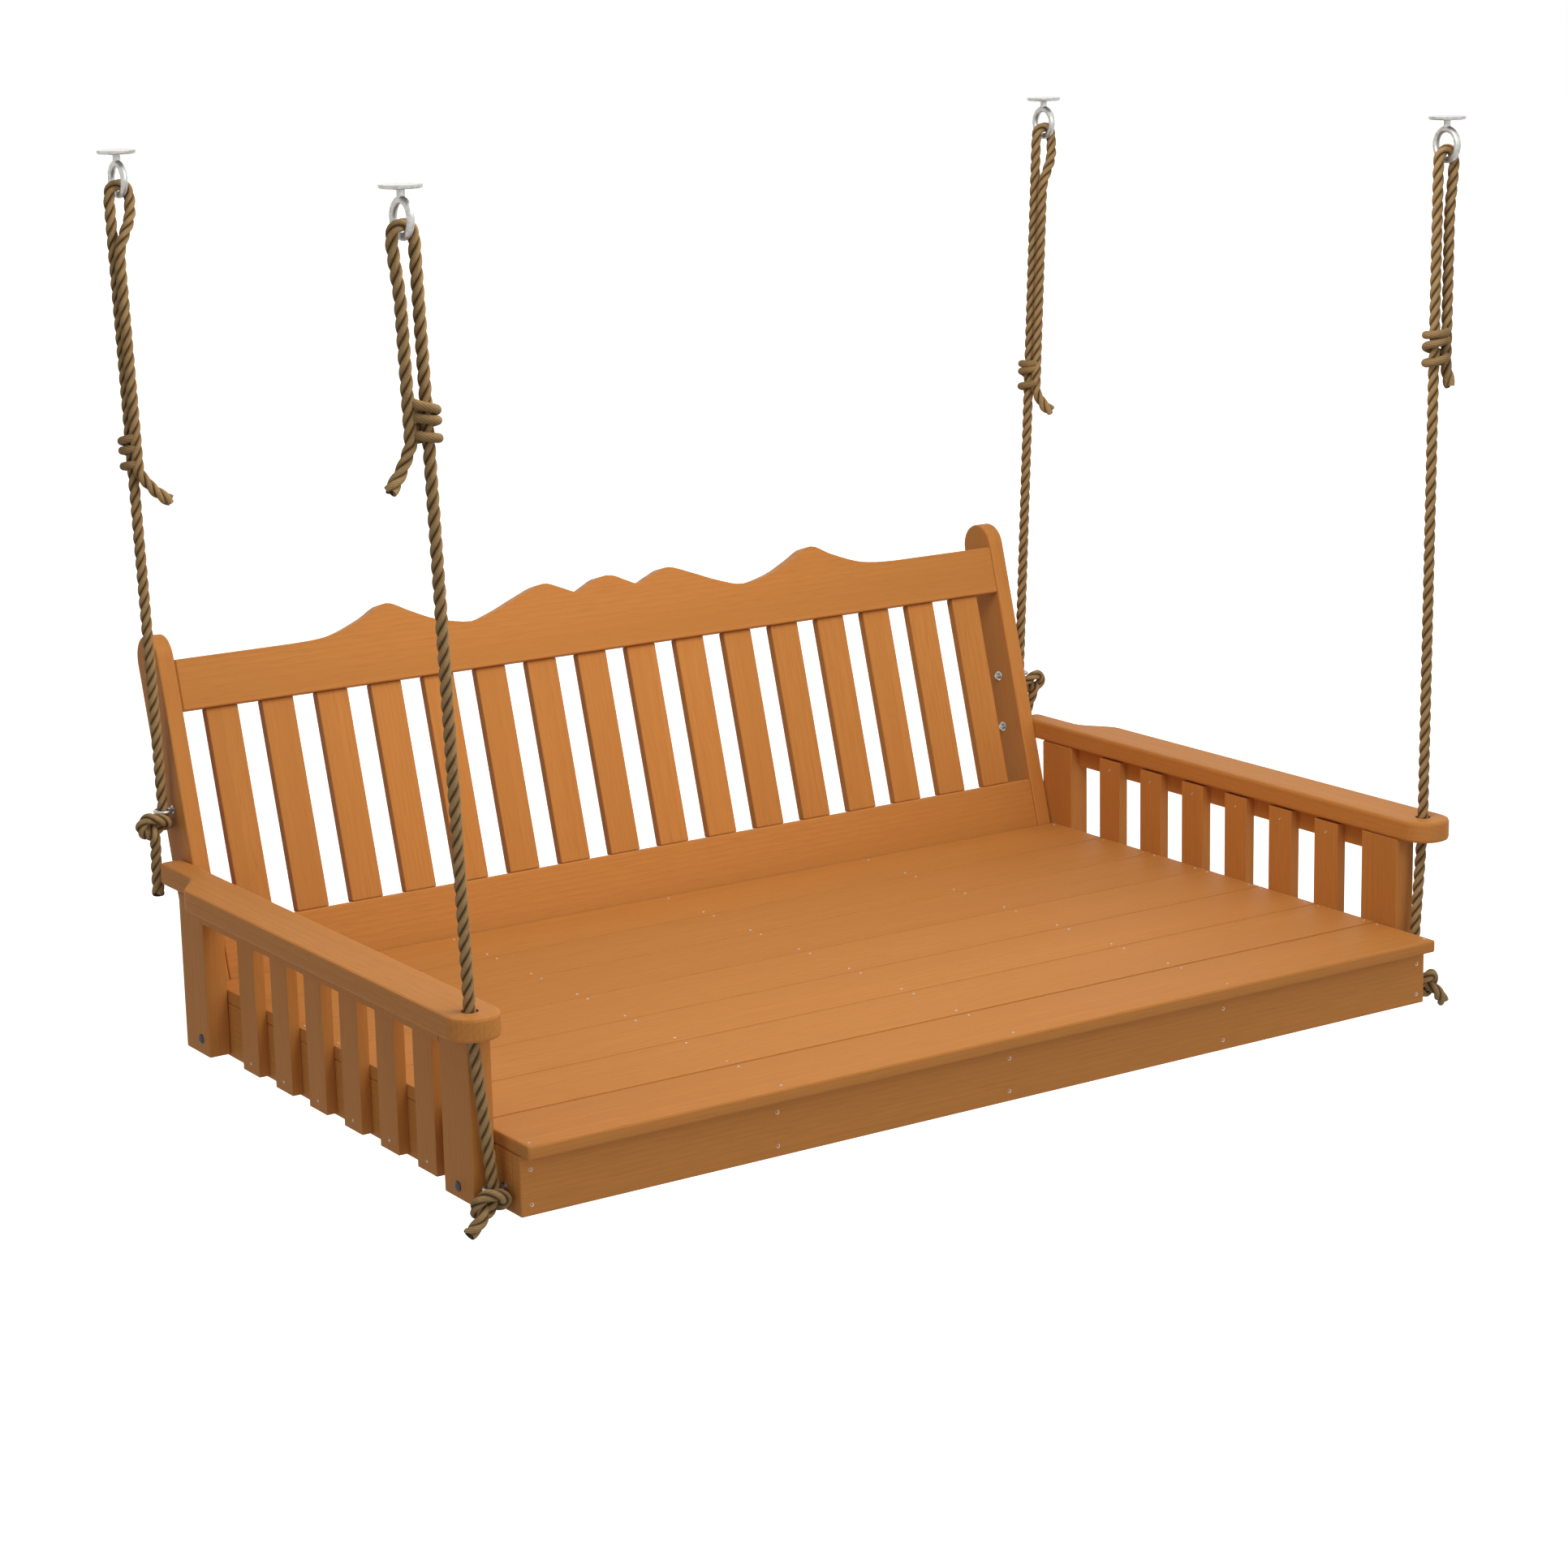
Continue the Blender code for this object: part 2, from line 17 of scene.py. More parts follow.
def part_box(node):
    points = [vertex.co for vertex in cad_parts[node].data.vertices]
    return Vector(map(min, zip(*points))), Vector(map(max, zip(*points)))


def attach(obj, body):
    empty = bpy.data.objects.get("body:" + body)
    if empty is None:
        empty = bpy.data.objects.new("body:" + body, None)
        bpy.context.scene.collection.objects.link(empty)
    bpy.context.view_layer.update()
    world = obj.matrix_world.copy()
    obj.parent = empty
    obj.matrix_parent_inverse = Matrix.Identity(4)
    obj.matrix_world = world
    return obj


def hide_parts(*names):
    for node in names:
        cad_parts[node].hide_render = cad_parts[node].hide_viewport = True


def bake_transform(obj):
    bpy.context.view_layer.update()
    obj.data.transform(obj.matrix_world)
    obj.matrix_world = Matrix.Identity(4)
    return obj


bl_info = {
    "name": "Porch swing looks",
    "version": (1, 0, 0),
    "blender": (4, 5, 0),
    "location": "3D View > Sidebar > Porch Swing",
    "description": "Dresses the packed porch swing with timber, rope and steel finishes and a studio",
    "category": "Object",
}

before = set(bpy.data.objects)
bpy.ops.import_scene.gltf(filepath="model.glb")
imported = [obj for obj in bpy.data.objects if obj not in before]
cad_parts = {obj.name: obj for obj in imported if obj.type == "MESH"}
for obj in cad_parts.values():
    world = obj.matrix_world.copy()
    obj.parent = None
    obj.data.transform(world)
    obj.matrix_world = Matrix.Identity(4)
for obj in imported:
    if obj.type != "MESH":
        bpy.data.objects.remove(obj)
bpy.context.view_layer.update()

# The middle of the seat's front lower edge is this far from the origin.
BENCH = Vector((0, -0.6257, -1.535))
RECLINE = radians(15.7)
BACK_FOOT = BENCH + Vector((0, 1.0664, 0.120))
HALF_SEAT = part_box("front_apron")[1].x
DECK_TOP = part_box("deck_board_1")[1].z

# The ropes' own places, for the right-hand ropes: where each leaves the arm or its ring and meets its
# ceiling ring, and the middles of the front rings.
FRONT_LOW = BENCH + Vector((0.9585, 0.056, 0.323))
FRONT_TOP = BENCH + Vector((0.984, 0.0766, 1.461))
REAR_RING = BENCH + Vector((0.9315, 1.1913, 0.4017))
REAR_TOP = BENCH + Vector((0.968, 1.1748, 1.461))
FRONT_RING = BENCH + Vector((0.9335, 0.050, 0.037))
LOOP_RADIUS = 0.018
# A returning strand turns from the ceiling ring's side to its hitch's side over this length.
TWIST_RUN = 0.10
# A front rope runs straight from its knot to this far under the arm's bend.
ARM_HOLE_DROP = 0.02
# How far each strand's middle stands from the rope's, and its size, as shares of the rope's radius.
STRAND_OFFSET = 0.50
STRAND_SIZE = 0.54
# How much a cut end opens, and over what length.
FLARE = 0.16
FLARE_RUN = 0.045
# The rear knots' rope stands this far over its ring, and the rope above laps it by this much.
REAR_STUB = 0.014
REAR_LAP = 0.004
# For each upper rope: which side of it the ceiling eye is on, the direction in degrees of its returning
# strand and the gap to it at the hitch, the hitch's height, how far its first turn slants, how far its
# turns drop, and its tail's run.
HITCHES = {
    ("front", -1): (-1, 180, 0.0100, 1.212, 0.016, 0.040, (-0.039, -0.004, -0.062)),
    ("front", 1): (1, 0, 0.0095, 1.167, 0.004, 0.049, (0.008, -0.004, -0.034)),
    ("rear", -1): (1, -85, 0.0008, 1.046, 0.014, 0.042, (0.052, -0.006, -0.052)),
    ("rear", 1): (1, -80, 0.0008, 1.020, 0.004, 0.046, (0.029, -0.011, -0.040)),
}
# For each pair of ropes: how far a lashing's turn stops short of its returning strand's middle, in rope
# diameters, and the share of its sideways reach that it keeps on the hidden side.
LASHING_TUCKS = {"front": (0.30, 1.0), "rear": (0, 0.20)}
# How far a lashing has dropped after its second and each later half turn, as a share of its whole drop.
LASHING_DROPS = (0.12, 0.36, 0.75, 1, 1)
# The steps in a half turn, how far a turn presses into the rope, and the depth that sets its painted shade.
LASHING_STEPS = 24
LASHING_SINK = 0.001
LASHING_SHADE_DEPTH = 0.9
# The overhand knots under the eyes, from the ring to the tail's end, as outwards, frontwards and upwards
# distances from the knot's middle, in rope diameters.
FRONT_KNOT_MIDDLE = FRONT_RING + Vector((0.006, 0, -0.0215))
FRONT_KNOT = (
    (-0.32, 0.0, 1.13), (-0.30, 0.05, 0.75), (-0.15, 0.15, 0.15), (0.35, 0.20, -0.60), (1.15, 0.30, -0.85),
    (1.70, 0.60, 0.15), (1.15, 1.20, 1.10), (0.25, 1.60, 1.20), (-0.55, 1.45, 0.70), (-0.79, 0.45, -0.10),
    (-0.65, -0.60, -0.30), (0.05, -0.90, 0.05), (0.60, -0.40, 0.20), (1.00, 0.40, 0.10), (1.40, 1.30, -0.30),
    (1.90, 1.40, -0.95), (2.60, 1.10, -1.70),
)
REAR_KNOT_MIDDLE = REAR_RING + Vector((0.0125, 0, -0.0243))
REAR_KNOT = (
    (-0.66, 0.0, 1.28), (-0.62, 0.0, 0.70), (-0.35, 0.0, 0.10), (0.20, 0.05, -0.50), (1.05, 0.15, -0.75),
    (1.80, 0.40, 0.10), (1.30, 0.75, 0.95), (0.25, 1.15, 0.90), (-0.65, 0.75, 0.40), (-1.05, 0.0, -0.05),
    (-0.70, -0.70, -0.15), (0.0, -0.85, 0.05), (0.50, -0.45, 0.10), (0.70, 0.20, -0.05), (0.72, 0.80, -0.45),
    (0.55, 0.62, -1.25), (0.38, 0.20, -2.4), (0.30, -0.05, -4.0), (0.21, -0.16, -6.4),
)

# Distances between the points along a rope and along a lashing, and the bevel resolution of both.
ROPE_SPACING = 0.003
LASHING_SPACING = 0.0025
STRAND_SIDES = 5
# A burnt end's radii at its two faces, in rope diameters, its thickness and its rounding.
CAP_RADII = (0.56, 0.53)
CAP_DEPTH = 0.006
CAP_EDGE = 0.0015

# How far the grain is drawn out along a board, and the wave pattern's period times its scale.
GRAIN_STRETCH = 22.0
RING_WAVE = 0.314
# The turn in radians from one board's pith to the next one's, and how far the boards' shades spread.
BOARD_TURN = 2.39996
SHADE_SPREAD = 0.025
# The yarns' lean along a strand, in turns a metre.
YARN_LEAN = -13.0
# The scale of the blotches on metal, and how much darker than clean plating the zinc is.
METAL_BLOTCHES = 180.0
ZINC_SHADE = 0.72

# Edges that turn more than this are shaded sharp, and points nearer than this are merged.
SHARP_EDGE = radians(40)
MERGE = 0.00001
# Screw heads, nuts, bolt heads, threads and the facets of rings.
HEAD_DEPTH = 0.0012
HEAD_RECESS = 0.0011
NUT_WIDTH = 0.0105
NUT_HEIGHT = 0.0055
NUT_EDGE = 0.0009
DOME_RADIUS = 0.0085
DOME_HEIGHT = 0.0045
DOME_RIM = 0.0006
THREAD_PITCH = 0.00125
RING_STEPS = 56
WIRE_STEPS = 16
# A ceiling plate's turned outline, as radius and height, its ring, its stem and the circle of its screws.
CEILING_PLATE = ((0, -0.006), (0.0295, -0.006), (0.0312, -0.0052), (0.032, -0.004), (0.032, 0), (0, 0))
CEILING_RING = 0.026
CEILING_WIRE = 0.006
CEILING_STEM = 0.0062
PLATE_SCREW_CIRCLE = 0.022
PLATE_SCREW_DEPTH = 0.0062
# The shanks of the eye bolts, from the ring's outside.
FRONT_SHANK = 0.034
REAR_SHANK = 0.046
# How far through a back post its eye bolt's inner washer sits.
BACK_POST_DEPTH = 0.0321
WASHER_RADIUS = 0.0095
WASHER_THICKNESS = 0.0014
# A nut stands this far off the timber, just less than its washer's thickness.
NUT_SEAT = 0.0013
# The screws' rows along the seat. The deck's stand a little further in than the joists' middles.
JOIST_ROWS = (-0.9055, -0.4535, 0, 0.4535, 0.9055)
DECK_ROW_SHARE = 0.9978
DECK_SCREW_EDGE = 0.0165
APRON_ROWS = (-0.897, -0.4535, 0, 0.4535, 0.897)
APRON_HEIGHTS = (0.018, 0.0735)
DECK_BOARDS = 7
# The arm slats: their gap to the front post, pitch, half width and the heights of their screws.
ARM_SLATS = 6
ARM_SLAT_GAP = 0.063
ARM_SLAT_PITCH = 0.1246
ARM_SLAT_HALF = 0.03075
ARM_SLAT_THICKNESS = 0.0192
STRIP_SCREW_HEIGHT = 0.2588
RAIL_SCREW_HEIGHT = 0.022
# The arm posts' bolts, as depth and height on the bench, and how far out their heads stand.
POST_BOLTS = ((0.122, 0.025), (1.033, 0.033))
POST_BOLTS_OUT = 0.0400
# The back posts' bolts: how far in from the seat's end, how deep behind the back's face and how far up it.
BACK_BOLT = (0.0342, 0.059, 0.204)
BACK_BOLT_RADIUS = 0.0031
THREAD_LENGTH = 0.0095

# The fill lights: where each comes from, its share of the fill and its spread in degrees.
FILLS = (
    ("front_fill", (0.05, -1.0, 0.25), 3.1, 70),
    ("top_fill", (0.1, -0.2, 1.0), 2.0, 70),
    ("left_fill", (-1.0, -0.1, 0.1), 2.1, 80),
    ("rear_fill", (0.3, 1.0, 0.12), 3.0, 80),
    ("right_fill", (1.0, -0.1, 0.12), 2.4, 80),
    ("low_fill", (0.0, -0.3, -1.0), 1.2, 90),
)
# The key light: its place, the point of the bench it faces, its side and its share of the key's strength.
KEY_PLACE = (-0.15, -0.8, 0.60)
KEY_TARGET = (0.1, 0.5, 0.15)
KEY_SIZE = 1.0
KEY_SHARE = 10
# Half the floor's side, how bright it is by itself, and how far the camera sees.
FLOOR_SIZE = 60
FLOOR_GLOW = 0.75
FAR_VIEW = 200


class PorchTimber(bpy.types.PropertyGroup):
    light: FloatVectorProperty(
        name="Light wood", description="Stained colour between the growth rings", subtype="COLOR",
        size=3, min=0, max=1, default=(0.520, 0.205, 0.046),
    )
    dark: FloatVectorProperty(
        name="Dark wood", description="Stained colour along the growth rings", subtype="COLOR",
        size=3, min=0, max=1, default=(0.490, 0.190, 0.041),
    )
    ring: FloatProperty(
        name="Ring spacing", description="Distance between two growth rings", unit="LENGTH",
        default=0.009, min=0.001,
    )
    roughness: FloatProperty(
        name="Roughness", description="Satin of the stain", subtype="FACTOR", default=0.62, min=0, max=1
    )


class PorchRope(bpy.types.PropertyGroup):
    diameter: FloatProperty(
        name="Diameter", description="Outside diameter of the laid rope", unit="LENGTH",
        default=0.019, min=0.002,
    )
    lay: FloatProperty(
        name="Lay", description="Length of one full turn of a strand", unit="LENGTH", default=0.068, min=0.01
    )
    strand: FloatProperty(
        name="Lashing", description="Diameter of the single strand round each hitch", unit="LENGTH",
        default=0.014, min=0.002,
    )
    yarns: IntProperty(name="Yarns", description="Yarns seen round one strand", default=11, min=1)
    light: FloatVectorProperty(
        name="Fibre", description="Colour of the outer fibres", subtype="COLOR", size=3, min=0, max=1,
        default=(0.460, 0.290, 0.125),
    )
    # Painted shade: the near-black colour the rope's finish lays between the strands, where shade falls.
    dark: FloatVectorProperty(
        name="Crevice", description="Colour between the strands", subtype="COLOR", size=3, min=0, max=1,
        default=(0.048, 0.021, 0.006),
    )


class PorchSteel(bpy.types.PropertyGroup):
    zinc: FloatVectorProperty(
        name="Zinc", description="Colour of the plated eyes, nuts and screws", subtype="COLOR", size=3,
        min=0, max=1, default=(0.58, 0.57, 0.54),
    )
    wire: FloatProperty(
        name="Eye wire", description="Radius of the wire of the eye bolts", unit="LENGTH", default=0.0035,
        min=0.001,
    )
    eye: FloatProperty(
        name="Eye", description="Radius to the middle of the eye bolt's ring", unit="LENGTH", default=0.014,
        min=0.005,
    )


class PorchStudio(bpy.types.PropertyGroup):
    place: FloatVectorProperty(
        name="Camera", description="Where the camera stands", subtype="TRANSLATION", size=3,
        default=(-3.4433, -5.1863, 0.3607),
    )
    turn: FloatVectorProperty(
        name="Turn", description="Camera pan, tilt and roll in degrees", size=3,
        default=(-33.4729, 76.6315, -1.2227),
    )
    lens: FloatProperty(name="Lens", description="Focal length in millimetres", default=84.253, min=1)
    floor: FloatProperty(
        name="Floor", description="Height of the floor under the swing", unit="LENGTH", default=-4.2
    )
    sun: FloatProperty(name="Key light", description="Strength of the soft key light", default=2.5, min=0)
    sky: FloatProperty(
        name="Fill light", description="Strength of the light from all sides", default=0.40, min=0
    )


# ---- small tools ----------------------------------------------------------------------------------------


def keep(obj, body):
    """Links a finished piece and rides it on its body."""
    bpy.context.scene.collection.objects.link(obj)
    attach(obj, body)
    return obj


def piece(name, shape, finish, body):
    """Makes a piece from a bmesh, shaded smooth apart from its sharp edges."""
    bmesh.ops.recalc_face_normals(shape, faces=shape.faces)
    for face in shape.faces:
        face.smooth = True
    for edge in shape.edges:
        edge.smooth = not edge.is_manifold or edge.calc_face_angle(0) < SHARP_EDGE
    data = bpy.data.meshes.new(name)
    shape.to_mesh(data)
    shape.free()
    data.materials.append(finish)
    return keep(bpy.data.objects.new(name, data), body)


def aim(direction):
    """A turn that takes +Z to a direction."""
    return Vector((0, 0, 1)).rotation_difference(Vector(direction)).to_matrix().to_4x4()


def smooth_run(points, steps):
    """A Catmull-Rom run through the points."""
    ends = [2 * points[0] - points[1], *points, 2 * points[-1] - points[-2]]
    run = [points[0]]
    for a, b, c, d in zip(ends, ends[1:], ends[2:], ends[3:]):
        for step in range(1, steps + 1):
            t = step / steps
            square = (2 * a - 5 * b + 4 * c - d) * t**2
            cube = (3 * b - a - 3 * c + d) * t**3
            run.append(0.5 * (2 * b + (c - a) * t + square + cube))
    return run


def even(points, spacing):
    """The same line with its points evenly spaced, and how far along it each one is."""
    line = np.array([tuple(point) for point in points])
    along = np.concatenate([[0], np.cumsum(np.linalg.norm(np.diff(line, axis=0), axis=1))])
    at = np.linspace(0, along[-1], max(2, ceil(along[-1] / spacing) + 1))
    return at, np.stack([np.interp(at, along, line[:, axis]) for axis in range(3)], axis=1)


def rounded(points):
    """The line with its corners eased twice."""
    line = [Vector(point) for point in points]
    for _ in range(2):
        inner = [(a + 2 * b + c) / 4 for a, b, c in zip(line, line[1:], line[2:])]
        line = [line[0], *inner, line[-1]]
    return line


def eased(share):
    """A share of 0 to 1 with a soft start and end."""
    return share * share * (3 - 2 * share)


# ---- rope -----------------------------------------------------------------------------------------------


def flare(at, ends):
    """How much the strands open near the rope's cut ends."""
    left = np.full(len(at), np.inf)
    if "start" in ends:
        left = np.minimum(left, at)
    if "end" in ends:
        left = np.minimum(left, at[-1] - at)
    near = np.clip(1 - left / FLARE_RUN, 0, 1)
    return 1 + FLARE * eased(near)


def strands_round(line, radius, lay, spin, at, opening):
    """The three strands' middle lines, turning right-handed round the rope's line."""
    tangents = np.gradient(line, axis=0)
    tangents /= np.linalg.norm(tangents, axis=1)[:, None]
    side = np.cross(tangents[0], (0.0, 1.0, 0.0))
    runs = [[], [], []]
    for point, tangent, place, open_by in zip(line, tangents, at, opening):
        side = side - tangent * np.dot(side, tangent)
        side /= np.linalg.norm(side)
        other = np.cross(tangent, side)
        for strand, run in enumerate(runs):
            angle = 2 * pi * (place / lay + strand / 3) + spin
            away = cos(angle) * side + sin(angle) * other
            run.append(point + STRAND_OFFSET * radius * open_by * away)
    return runs


def swept(name, runs, radius, opening=None):
    """A mesh of round strands along the runs, with their length in metres along the UV map."""
    curve = bpy.data.curves.new(name, "CURVE")
    curve.dimensions = "3D"
    curve.bevel_depth = radius
    curve.bevel_resolution = STRAND_SIDES
    curve.use_fill_caps = True
    for run in runs:
        spline = curve.splines.new("POLY")
        spline.points.add(len(run) - 1)
        for place, point in zip(spline.points, run):
            place.co = (*point, 1)
        if opening is not None:
            spline.points.foreach_set("radius", opening)
        spline.use_smooth = True
    guide = bpy.data.objects.new(name + "_guide", curve)
    bpy.context.scene.collection.objects.link(guide)
    bpy.context.view_layer.update()
    graph = bpy.context.evaluated_depsgraph_get()
    data = bpy.data.meshes.new_from_object(guide.evaluated_get(graph))
    bpy.data.objects.remove(guide)
    bpy.data.curves.remove(curve)
    data.name = name
    length = sum((Vector(b) - Vector(a)).length for a, b in zip(runs[0], runs[0][1:]))
    layer = data.uv_layers.active.data
    spots = np.empty(len(layer) * 2, np.float32)
    layer.foreach_get("uv", spots)
    spots = spots.reshape(-1, 2)
    long_way = int(np.argmax([len(np.unique(spots[:, way].round(5))) for way in range(2)]))
    spots[:, long_way] *= length
    if long_way == 0:
        spots = spots[:, ::-1]
    layer.foreach_set("uv", np.ascontiguousarray(spots).reshape(-1))
    return data


def depth_in(data, line, radius):
    """Stores how far each point stands from the rope's middle, as a share of its radius; the rope's finish
    paints shade between the strands from it.
    """
    tree = KDTree(len(line))
    for index, point in enumerate(line):
        tree.insert(point, index)
    tree.balance()
    shares = [tree.find(vertex.co)[2] / radius for vertex in data.vertices]
    data.attributes.new("depth", "FLOAT", "POINT").data.foreach_set("value", shares)


def rope_piece(name, points, finish, ends, spin=0.0):
    """A laid rope of three strands along the points, the line it follows and its length."""
    look = bpy.context.scene.porch_rope
    at, line = even(rounded(points), ROPE_SPACING)
    radius = look.diameter / 2
    opening = flare(at, ends)
    runs = strands_round(line, radius, look.lay, spin, at, opening)
    data = swept(name, runs, STRAND_SIZE * radius, opening)
    depth_in(data, line, radius)
    data.materials.append(finish)
    return bpy.data.objects.new(name, data), line, at[-1]


def fitting_points(spot, side):
    """Where a rope leaves its lower fitting and where it meets its ceiling ring."""
    low, top = {"front": (FRONT_LOW, FRONT_TOP), "rear": (REAR_RING, REAR_TOP)}[spot]
    return Vector((side * low.x, low.y, low.z)), Vector((side * top.x, top.y, top.z))


def rise_at(low, top, z):
    """The point of a standing rope at a height."""
    return low.lerp(top, (z - low.z) / (top.z - low.z))


def upper_route(spot, side):
    """Up to the ceiling ring, over it, down beside itself to the hitch, and out to the cut end."""
    eye_side, turn, between, height, _, drop, tail = HITCHES[spot, side]
    gap = bpy.context.scene.porch_rope.diameter + between
    low, top = fitting_points(spot, side)
    bar = top + Vector((eye_side * LOOP_RADIUS, 0, 0))
    bottom = BENCH.z + height - drop - bpy.context.scene.porch_rope.strand / 2
    over = [
        bar + LOOP_RADIUS * Vector((-eye_side * cos(pi * step / 16), 0, sin(pi * step / 16)))
        for step in range(1, 17)
    ]
    beside = []
    for step in range(1, 81):
        z = bar.z + (bottom - bar.z) * step / 80
        share = eased(min(1, (bar.z - z) / TWIST_RUN))
        start_turn = 90 - 90 * eye_side
        angle = radians(start_turn + (turn - start_turn) * share)
        reach = 2 * LOOP_RADIUS + (gap - 2 * LOOP_RADIUS) * share
        beside.append(rise_at(low, top, z) + reach * Vector((cos(angle), sin(angle), 0)))
    last = beside[-1]
    end = last + Vector(tail)
    cut = smooth_run([last, last.lerp(end, 0.5) + Vector((0, 0, -0.006)), end], 8)[1:]
    standing = [low.lerp(top, step / 60) for step in range(61)]
    return standing + over + beside + cut


def lashing_route(spot, side):
    """Three turns of one strand round the standing rope, each through its returning strand."""
    look = bpy.context.scene.porch_rope
    _, turn, between, height, slant, drop, _ = HITCHES[spot, side]
    gap = look.diameter + between
    low, top = fitting_points(spot, side)
    start = BENCH.z + height
    along = Vector((cos(radians(turn)), sin(radians(turn)), 0))
    over = along.cross(Vector((0, 0, 1)))
    over *= -1 if over.y > 0 else 1
    far = look.diameter / 2 + look.strand / 2 - LASHING_SINK
    tuck, hidden = LASHING_TUCKS[spot]
    inner = gap - tuck * look.diameter
    heights = [slant, 0, *(-share * drop for share in LASHING_DROPS)]
    halves = len(heights) - 1
    points = []
    for step in range(halves * LASHING_STEPS + 1):
        half = min(step // LASHING_STEPS, halves - 1)
        fall = (heights[half + 1] - heights[half]) * (step / LASHING_STEPS - half)
        level = start + heights[half] + fall
        angle = pi * step / LASHING_STEPS
        across = far * sin(angle) * (1 if sin(angle) > 0 else hidden)
        reach = along * ((inner - far) / 2 + (inner + far) / 2 * cos(angle)) + over * across
        points.append(rise_at(low, top, level) + reach)
    return points


def knot_route(middle, turns, side):
    """An overhand knot's route in the model's frame."""
    size = bpy.context.scene.porch_rope.diameter
    middle = Vector((side * middle.x, middle.y, middle.z))
    points = [middle + size * Vector((side * out, -front, up)) for out, front, up in turns]
    return smooth_run(points, 10)


def end_cap(name, line, finish, body):
    """A dark burnt disc over a tail's cut end."""
    size = bpy.context.scene.porch_rope.diameter
    tip, back = Vector(line[-1]), Vector(line[-6])
    shape = bmesh.new()
    wide, narrow = CAP_RADII
    bmesh.ops.create_cone(
        shape, cap_ends=True, segments=28, radius1=wide * size, radius2=narrow * size, depth=CAP_DEPTH
    )
    rims = [edge for edge in shape.edges if abs(edge.verts[0].co.z - edge.verts[1].co.z) < 0.001]
    bmesh.ops.bevel(
        shape, geom=rims, offset=CAP_EDGE, segments=3, profile=0.5, affect="EDGES", material=-1
    )
    bmesh.ops.transform(shape, matrix=aim(tip - back), verts=shape.verts)
    bmesh.ops.translate(shape, vec=tip, verts=shape.verts)
    return piece(name, shape, finish, body)


def lashing(spot, side, label, finish, body):
    """The single strand tied round a hitch."""
    look = bpy.context.scene.porch_rope
    name = f"{spot}_{label}_lashing"
    _, line = even(rounded(lashing_route(spot, side)), LASHING_SPACING)
    data = swept(name, [line], look.strand / 2)
    # The lashing gets one even share of the rope's painted crevice shade.
    shares = [LASHING_SHADE_DEPTH] * len(data.vertices)
    data.attributes.new("depth", "FLOAT", "POINT").data.foreach_set("value", shares)
    data.materials.append(finish)
    return keep(bpy.data.objects.new(name, data), body)


# ---- finishes -------------------------------------------------------------------------------------------


class Graph:
    """A node tree being built: one new material with its shader, its nodes and their links."""

    def __init__(self, name, roughness, metallic=0.0):
        self.material = bpy.data.materials.new(name)
        self.material.use_nodes = True
        self.tree = self.material.node_tree
        self.shader = self.tree.nodes["Principled BSDF"]
        self.shader.inputs["Roughness"].default_value = roughness
        self.shader.inputs["Metallic"].default_value = metallic

    def add(self, kind, links=None, **values):
        """Adds a node, sets its properties and values, and links its inputs."""
        node = self.tree.nodes.new(kind)
        for key, value in values.items():
            if key in node.inputs:
                node.inputs[key].default_value = value
            else:
                setattr(node, key, value)
        for key, source in (links or {}).items():
            self.tree.links.new(source, node.inputs[key])
        return node

    def link(self, source, socket):
        """Links an output to one of the shader's inputs."""
        self.tree.links.new(source, self.shader.inputs[socket])

    def blend(self, factor, low, high):
        """Mixes two colours, each a socket or a plain colour."""
        node = self.tree.nodes.new("ShaderNodeMix")
        node.data_type = "RGBA"
        self.tree.links.new(factor, node.inputs[0])
        for socket, value in ((node.inputs[6], low), (node.inputs[7], high)):
            if isinstance(value, bpy.types.NodeSocket):
                self.tree.links.new(value, socket)
            else:
                socket.default_value = (*value, 1.0)
        return node.outputs[2]

    def ramp(self, source, start, end):
        """Stretches a value from start..end to 0..1."""
        return self.add(
            "ShaderNodeMapRange", {"Value": source}, **{"From Min": start, "From Max": end}
        ).outputs["Result"]

    def bump(self, height, strength, distance):
        """Raises the surface by a height value."""
        node = self.add("ShaderNodeBump", {"Height": height}, Strength=strength, Distance=distance)
        self.link(node.outputs["Normal"], "Normal")


def scaled(color, share):
    """A colour made darker or lighter."""
    return tuple(value * share for value in color)


def timber(name, pith, turn, grain, shade):
    """Stained softwood whose rings run round a pith line through the given point, along one axis."""
    look = bpy.context.scene.porch_timber
    made = Graph(name, look.roughness)
    made.shader.inputs["Specular IOR Level"].default_value = 0.12
    stretch = [1.0, 1.0, 1.0]
    stretch["XYZ".index(grain)] = GRAIN_STRETCH
    spot = made.add("ShaderNodeTexCoord").outputs["Object"]
    board = made.add(
        "ShaderNodeMapping", {"Vector": spot}, vector_type="TEXTURE", Location=pith, Rotation=turn,
        Scale=stretch,
    ).outputs["Vector"]
    rings = made.add(
        "ShaderNodeTexWave", {"Vector": board}, wave_type="RINGS", rings_direction=grain, wave_profile="SAW",
        Scale=RING_WAVE / look.ring, Distortion=1.1, Detail=2.0,
        **{"Detail Scale": 1.4, "Detail Roughness": 0.5},
    ).outputs["Fac"]
    fibre = made.add("ShaderNodeTexNoise", {"Vector": board}, Scale=420.0, Detail=3.0).outputs["Fac"]
    cloud = made.add("ShaderNodeTexNoise", {"Vector": board}, Scale=14.0, Detail=2.0).outputs["Fac"]
    tone = made.blend(made.ramp(rings, 0.35, 1.0), scaled(look.light, shade), scaled(look.dark, shade))
    streak = made.blend(made.ramp(fibre, 0.48, 0.95), tone, scaled(look.dark, 0.80 * shade))
    cloudy = made.blend(made.ramp(cloud, 0.40, 0.95), streak, scaled(look.dark, 0.93 * shade))
    made.link(cloudy, "Base Color")
    made.bump(fibre, 0.12, 0.0004)
    return made.material


